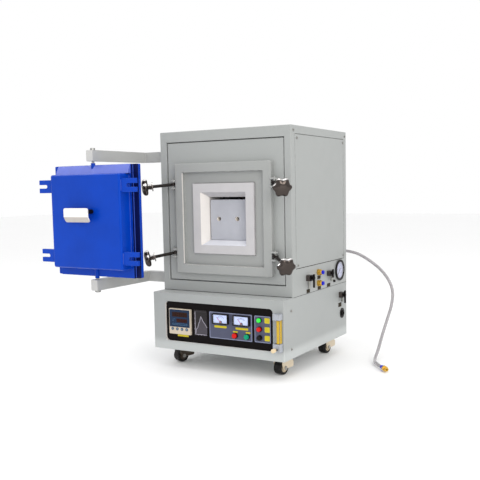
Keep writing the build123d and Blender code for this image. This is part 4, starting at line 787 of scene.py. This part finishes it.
# segment shapes of the unlit digits, faint in the dark displays
m = Mesh()
for (x0, x1, z0, z1) in ((-190.8, -122.7, 197.0, 214.6), (-171.2, -123.4, 176.2, 190.1)):
    w = (x1 - x0) / 4
    for i in range(4):
        a, b = x0 + w * i + w * 0.22, x0 + w * (i + 1) - w * 0.2
        c, e = z0 + (z1 - z0) * 0.14, z1 - (z1 - z0) * 0.14
        mid = (c + e) / 2
        y = YW - 1.1
        for p, q in (((a, c), (b, c)), ((a, mid), (b, mid)), ((a, e), (b, e)), ((a, c + 0.8), (a, mid - 0.8)),
                     ((a, mid + 0.8), (a, e - 0.8)), ((b, c + 0.8), (b, mid - 0.8)), ((b, mid + 0.8), (b, e - 0.8))):
            m.stroke((p[0], y, p[1]), (q[0], y, q[1]), 1.2, (0, -1, 0), 0.05)
M["seg"] = material("segment_unlit", lin(58, 26, 16), rough=0.3, spec=0.15, var=0.1, vscale=60, bump=0.02, bscale=900, edge=0)
m.make("display_segments", "seg", slot="controller_case")
m = Mesh()
ky = -283.0
for k, x in enumerate((-189.5, -168.2, -146.9, -125.6)):
    z = 151.0
    if k == 0:
        m.ring(xz(rrect(x - 2.6, x + 2.6, z - 2.6, z + 2.6, 2.5), ky), xz(rrect(x - 1.6, x + 1.6, z - 1.6, z + 1.6, 1.5), ky),
               (0, -0.12, 0))
    else:
        t = (0, 90, 180, 0)[k] if k != 3 else 180
        t = {1: 90, 2: 0, 3: 180}[k]
        tri = [(0, 3.2), (-2.8, -1.8), (2.8, -1.8)]
        ca, sa = math.cos(math.radians(t)), math.sin(math.radians(t))
        tri = [(x + p[0] * ca - p[1] * sa, z + p[0] * sa + p[1] * ca) for p in tri]
        m.prism(xz(tri, ky - 0.12), xz(tri, ky))
m.make("key_marks", "key_mark", slot="controller_case")

# ------------------------------------------------------------------ meters: dial, arc scale, numerals
YD = -277.0


def meter(name, mx, mz, n_major, numbers):
    m = Mesh()
    m.prism(xz(rrect(mx - 30.4, mx + 30.4, mz - 15.4, mz + 15.4, 1), YD - 0.25),
            xz(rrect(mx - 30.4, mx + 30.4, mz - 15.4, mz + 15.4, 1), YD))
    m.make(name + "_dial", "dial", slot="meter_case")
    m = Mesh()
    cx, cz, R = mx, mz - 12.0, 20.5
    a0, a1 = 42, -42
    n = 40
    prev = None
    for i in range(n + 1):
        t = math.radians(a0 + (a1 - a0) * i / n)
        p = (cx - math.sin(t) * R, YD - 0.25, cz + math.cos(t) * R)
        if prev:
            m.stroke(prev, p, 0.5, (0, -1, 0), 0.06)
        prev = p
        if i % 2 == 0:
            L = 3.4 if i % 8 == 0 else 1.9
            q = (cx - math.sin(t) * (R + L), YD - 0.25, cz + math.cos(t) * (R + L))
            m.stroke(p, q, 0.55 if i % 8 == 0 else 0.35, (0, -1, 0), 0.07)
    m.lathe((cx, YD - 0.25, cz), (0, -1, 0), [(0, 6.2), (0.35, 6.2), (0.4, 5.9), (0.4, 0)], seg=28)
    m.make(name + "_scale", "ink", slot="meter_case")
    for i, s in enumerate(numbers):
        t = math.radians(a0 + (a1 - a0) * i / (len(numbers) - 1))
        tx = bpy.data.curves.new("%s_n%d" % (name, i), "FONT")
        tx.body = s
        tx.size = 0.0037
        tx.align_x = "CENTER"
        tx.align_y = "CENTER"
        tx.extrude = 0.00004
        o = bpy.data.objects.new("%s_n%d" % (name, i), tx)
        scene.collection.objects.link(o)
        o.location = ((cx - math.sin(t) * (R - 3.0)) / 1000, (YD - 0.30) / 1000, (cz + math.cos(t) * (R - 3.0)) / 1000)
        o.rotation_euler = (math.pi / 2, 0, 0)
        tx.materials.append(M["ink"])
        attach(o, "cabinet")


meter("ammeter", 21.2, 202.5, 5, ["0", "10", "20", "30", "40", "50"])
meter("voltmeter", 108.8, 202.3, 5, ["0", "50", "100", "150", "200", "250"])

# gauge dial, facing +X
GY, GZ, GX = 201.0, 340.0, 282.0
m = Mesh()
m.lathe((GX, GY, GZ), (1, 0, 0), [(0, 0), (0.0, 32.8), (0.3, 32.8), (0.3, 0)], seg=64)
m.make("gauge_dial", "gauge_face", slot="meter_case")
m = Mesh()
for i in range(51):
    a = math.radians(225 - 270 * i / 50)
    R0, R1 = (24.2, 29.2) if i % 10 == 0 else (26.6, 29.2)
    p = (GX + 0.3, GY + math.cos(a) * R0, GZ + math.sin(a) * R0)
    q = (GX + 0.3, GY + math.cos(a) * R1, GZ + math.sin(a) * R1)
    m.stroke(p, q, 1.0 if i % 10 == 0 else 0.5, (1, 0, 0), 0.08)
prev = None
for i in range(61):
    a = math.radians(225 - 270 * i / 60)
    p = (GX + 0.3, GY + math.cos(a) * 29.5, GZ + math.sin(a) * 29.5)
    if prev:
        m.stroke(prev, p, 0.6, (1, 0, 0), 0.08)
    prev = p
m.make("gauge_scale", "ink", slot="meter_case")
for i, s in enumerate(["0", "2", "4", "6", "8", "10"]):
    a = math.radians(225 - 270 * i / 5)
    tx = bpy.data.curves.new("gauge_n%d" % i, "FONT")
    tx.body = s
    tx.size = 0.0062
    tx.align_x = "CENTER"
    tx.align_y = "CENTER"
    tx.extrude = 0.00006
    o = bpy.data.objects.new("gauge_n%d" % i, tx)
    scene.collection.objects.link(o)
    o.location = ((GX + 0.36) / 1000, (GY + math.cos(a) * 19.6) / 1000, (GZ + math.sin(a) * 19.6) / 1000)
    o.rotation_euler = (math.pi / 2, 0, math.pi / 2)
    tx.materials.append(M["ink"])
    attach(o, "cabinet")

# ------------------------------------------------------------------ flowmeter: scale strips, ticks
FCX = 260.9
FYF = -300.5
m = Mesh()
m.box(262.0, 272.4, -299.8, -299.45, 138, 217.5)
m.box(262.5, 271.8, -278.4, -277.8, 137, 218)
m.box(273.25, 273.6, -296.5, -284.5, 138, 217.5)
m.make("flow_strips", "flow_yellow", slot="clear_window")
m = Mesh()
for i in range(21):
    z = 141 + i * 3.65
    L = 4.2 if i % 5 == 0 else 2.4
    m.box(262.6, 262.6 + L, -299.95, -299.8, z - 0.3, z + 0.3)
    m.box(273.6, 273.75, -295.8, -295.8 + L, z - 0.3, z + 0.3)
m.make("flow_ticks", "ink", slot="clear_window")
m = Mesh()
for z in (136.2, 215.3):
    n = 32
    ro = [[m.bm.verts.new(Vector((FCX + r * math.cos(6.28319 * i / n), -289 + r * math.sin(6.28319 * i / n), zz)) / 1000)
           for i in range(n)] for r, zz in ((3.75, z), (5.4, z), (5.4, z + 4), (3.75, z + 4))]
    for a, b in zip(ro, ro[1:] + ro[:1]):
        for i in range(n):
            m.bm.faces.new((a[i], a[(i + 1) % n], b[(i + 1) % n], b[i]))
m.make("flow_sockets", "chrome", slot="chrome_part")
m = Mesh()
for x, z in ((250.2, 111.5), (271.6, 111.5), (250.2, 236), (271.6, 236)):
    m.lathe((x, FYF, z), (0, -1, 0), [(0, 2.0), (0.8, 2.0), (1.1, 1.6), (1.1, 0)], seg=20)
m.make("flow_screws", "zinc", slot="zinc")

m = Mesh()
for fz in (353.5, 312.5):
    m.lathe((280.0, 1.5, fz), (1, 0, 0), [(7.9, 8.0), (7.9, 9.8), (9.0, 10.2), (14.5, 10.2), (15.5, 9.8), (15.5, 8.6),
                                          (17.8, 8.6), (18.2, 8.2), (18.2, 7.5), (7.9, 7.5), (7.9, 8.0)], seg=40)
m.make("fitting_nuts", "brass", slot="brass_part")

# ------------------------------------------------------------------ screws: cross recesses, drawn as dark strokes of painted shade
m = Mesh()


def cross(c, n, e, s=2.6, w=0.8):
    c, n, e = Vector(c), Vector(n), Vector(e)
    f = n.cross(e)
    m.stroke(c - e * s, c + e * s, w, n, 0.12)
    m.stroke(c - f * s, c + f * s, w, n, 0.12)


for s in (-1, 1):
    for y, z in [(-222, 241), (-222, 105), (-191, 868), (262, 868)] + [(y, z) for y in (-164, 243) for z in (842, 395)]:
        an = random.uniform(0, 1.5)
        cross((s * 282.2, y, z), (s, 0, 0), (0, math.cos(an), math.sin(an)))
for x in (-228, 228):
    for z in (452, 838):
        cross((x, 279.7, z), (0, 1, 0), (0.8, 0, 0.6))
m.make("screw_recesses", "slot_painted_shade", slot="zinc")

# ------------------------------------------------------------------ lip of the flange recess in painted highlight, joint over the base in painted shade
m = Mesh()
m.box(-170.1, -169.75, -225.2, -219.5, 390.5, 731.5)
m.box(-168.5, 174.5, -225.2, -219.5, 388.9, 389.25)
m.make("recess_lip", "edge_painted_highlight", slot="casing_paint")
# dark strips of painted shade in the joint between the upper casing and the base
m = Mesh()
m.box(-276.5, 276.5, -207.9, -207.3, 285.1, 286.9)
m.box(279.9, 280.25, -204, 274, 284.4, 285.6)
m.box(-280.25, -279.9, -204, 274, 284.4, 285.6)
m.make("base_joint", "seam", slot="zinc")
# ------------------------------------------------------------------ the joint round each side cover, as strips of painted shade, darker along the bottom
m = Mesh()
for s in (-1, 1):
    a, b = sorted((s * 278.6, s * 279.6))
    m.box(a, b, -179.8, 249.3, 382.6, 384.9)
m.make("cover_seam_lower", "seam", slot="zinc")
m = Mesh()
for s in (-1, 1):
    a, b = sorted((s * 278.2, s * 278.8))
    m.box(a, b, -179.8, 249.3, 855.1, 857.4)
    m.box(a, b, -179.9, -177.6, 385.0, 855.0)
    m.box(a, b, 247.1, 249.4, 385.0, 855.0)
m.make("cover_seams", "seam_light", slot="zinc")

# ------------------------------------------------------------------ arms: end caps; door: weld beads along the lugs
for k, z0 in enumerate((778.0, 304.0)):
    m = Mesh()
    m.prism(xz(rrect(-428.6, -399.4, z0 + 0.4, z0 + 39.6, 3), -454.6), xz(rrect(-429, -399, z0, z0 + 40, 3), -453.4))
    m.make("arm_cap_%d" % k, "cap", "door_arms", "arm_paint", bevel=0.4)

m = Mesh()


def bead(p, q, r=2.0, step=3.4):
    p, q = Vector(p), Vector(q)
    L = (q - p).length
    n = max(2, int(L / step))
    d = (q - p).normalized()
    prof = []
    for i in range(n * 4 + 1):
        t = i / (n * 4)
        rr = r * (0.86 + 0.16 * abs(math.sin(math.pi * t * n)))
        if i == 0 or i == n * 4:
            rr = r * 0.4
        prof.append((t * L, rr))
    m.lathe(p, d, [(0, 0)] + prof + [(L, 0)], seg=10)


DXc, DZc = -414.0, 560.0
for s in (-1, 1):
    for t in (-1, 1):
        zc = DZc + t * 129
        x = DXc + s * 165.7
        bead((x, -481.0, zc - 20), (x, -481.0, zc + 20), 2.2)
        bead((x, -468.2, zc - 22), (x, -468.2, zc + 22), 2.4)
# box to mid layer, mid layer to plate
for (x0, x1, z0, z1, y, r) in ((-579.5, -248.5, 388.5, 731.5, -435.7, 2.2),):
    bead((x0 + 8, y, z1), (x1 - 8, y, z1), r, 4.5)
    bead((x0 + 8, y, z0), (x1 - 8, y, z0), r, 4.5)
    bead((x0, y, z0 + 8), (x0, y, z1 - 8), r, 4.5)
    bead((x1, y, z0 + 8), (x1, y, z1 - 8), r, 4.5)
for x in (-590, -238):
    bead((x, -425.6, 358), (x, -425.6, 762), 2.2, 4.5)
m.make("door_welds", "weld", "door", "door_blue")
# sloped strip above the door box, in the lighter door paint of painted highlight
m = Mesh()
m.prism([(-587.0, -435.3, 731.0), (-587.0, -452.0, 731.0), (-587.0, -437.0, 763.2), (-587.0, -435.3, 763.2)],
        [(-241.0, -435.3, 731.0), (-241.0, -452.0, 731.0), (-241.0, -437.0, 763.2), (-241.0, -435.3, 763.2)])
m.make("door_top_cover", "blue_painted_highlight", "door", "door_blue", bevel=0.8)

# ------------------------------------------------------------------ floor, light
me = bpy.data.meshes.new("floor")
bm = bmesh.new()
s = 14.0
for p in ((-s, -s, 0), (s, -s, 0), (s, s, 0), (-s, s, 0)):
    bm.verts.new(p)
bm.faces.new(bm.verts)
bm.to_mesh(me)
bm.free()
floor = bpy.data.objects.new("floor", me)
scene.collection.objects.link(floor)
me.materials.append(material("floor_white", (0.95, 0.95, 0.95), rough=0.7, var=0.004, vscale=1, bump=0.02, bscale=60,
                             edge=0))
floor.location.z = -0.0005

world = bpy.data.worlds.new("studio")
scene.world = world
world.use_nodes = True
bg = world.node_tree.nodes["Background"]
bg.inputs[0].default_value = (1.0, 1.0, 1.0, 1)
bg.inputs[1].default_value = 1.0


def area(name, loc, target, size, power, col=(1, 1, 1)):
    l = bpy.data.lights.new(name, "AREA")
    l.shape = "RECTANGLE"
    l.size, l.size_y = size
    l.energy = power
    l.color = col
    o = bpy.data.objects.new(name, l)
    scene.collection.objects.link(o)
    o.location = loc
    d = Vector(target) - Vector(loc)
    o.rotation_euler = d.to_track_quat("-Z", "Y").to_euler()
    return o


area("key_left", (-2.5, -1.1, 2.8), (-0.3, -0.3, 0.6), (0.7, 0.9), 16)
area("fill_right", (3.0, -2.6, 1.7), (0.1, 0.0, 0.5), (1.6, 2.2), 58, (1.0, 0.965, 0.915))
area("top", (0.3, -0.6, 3.4), (0, 0, 0.4), (2.2, 2.2), 22)

scene.view_settings.view_transform = "Standard"
scene.view_settings.look = "None"
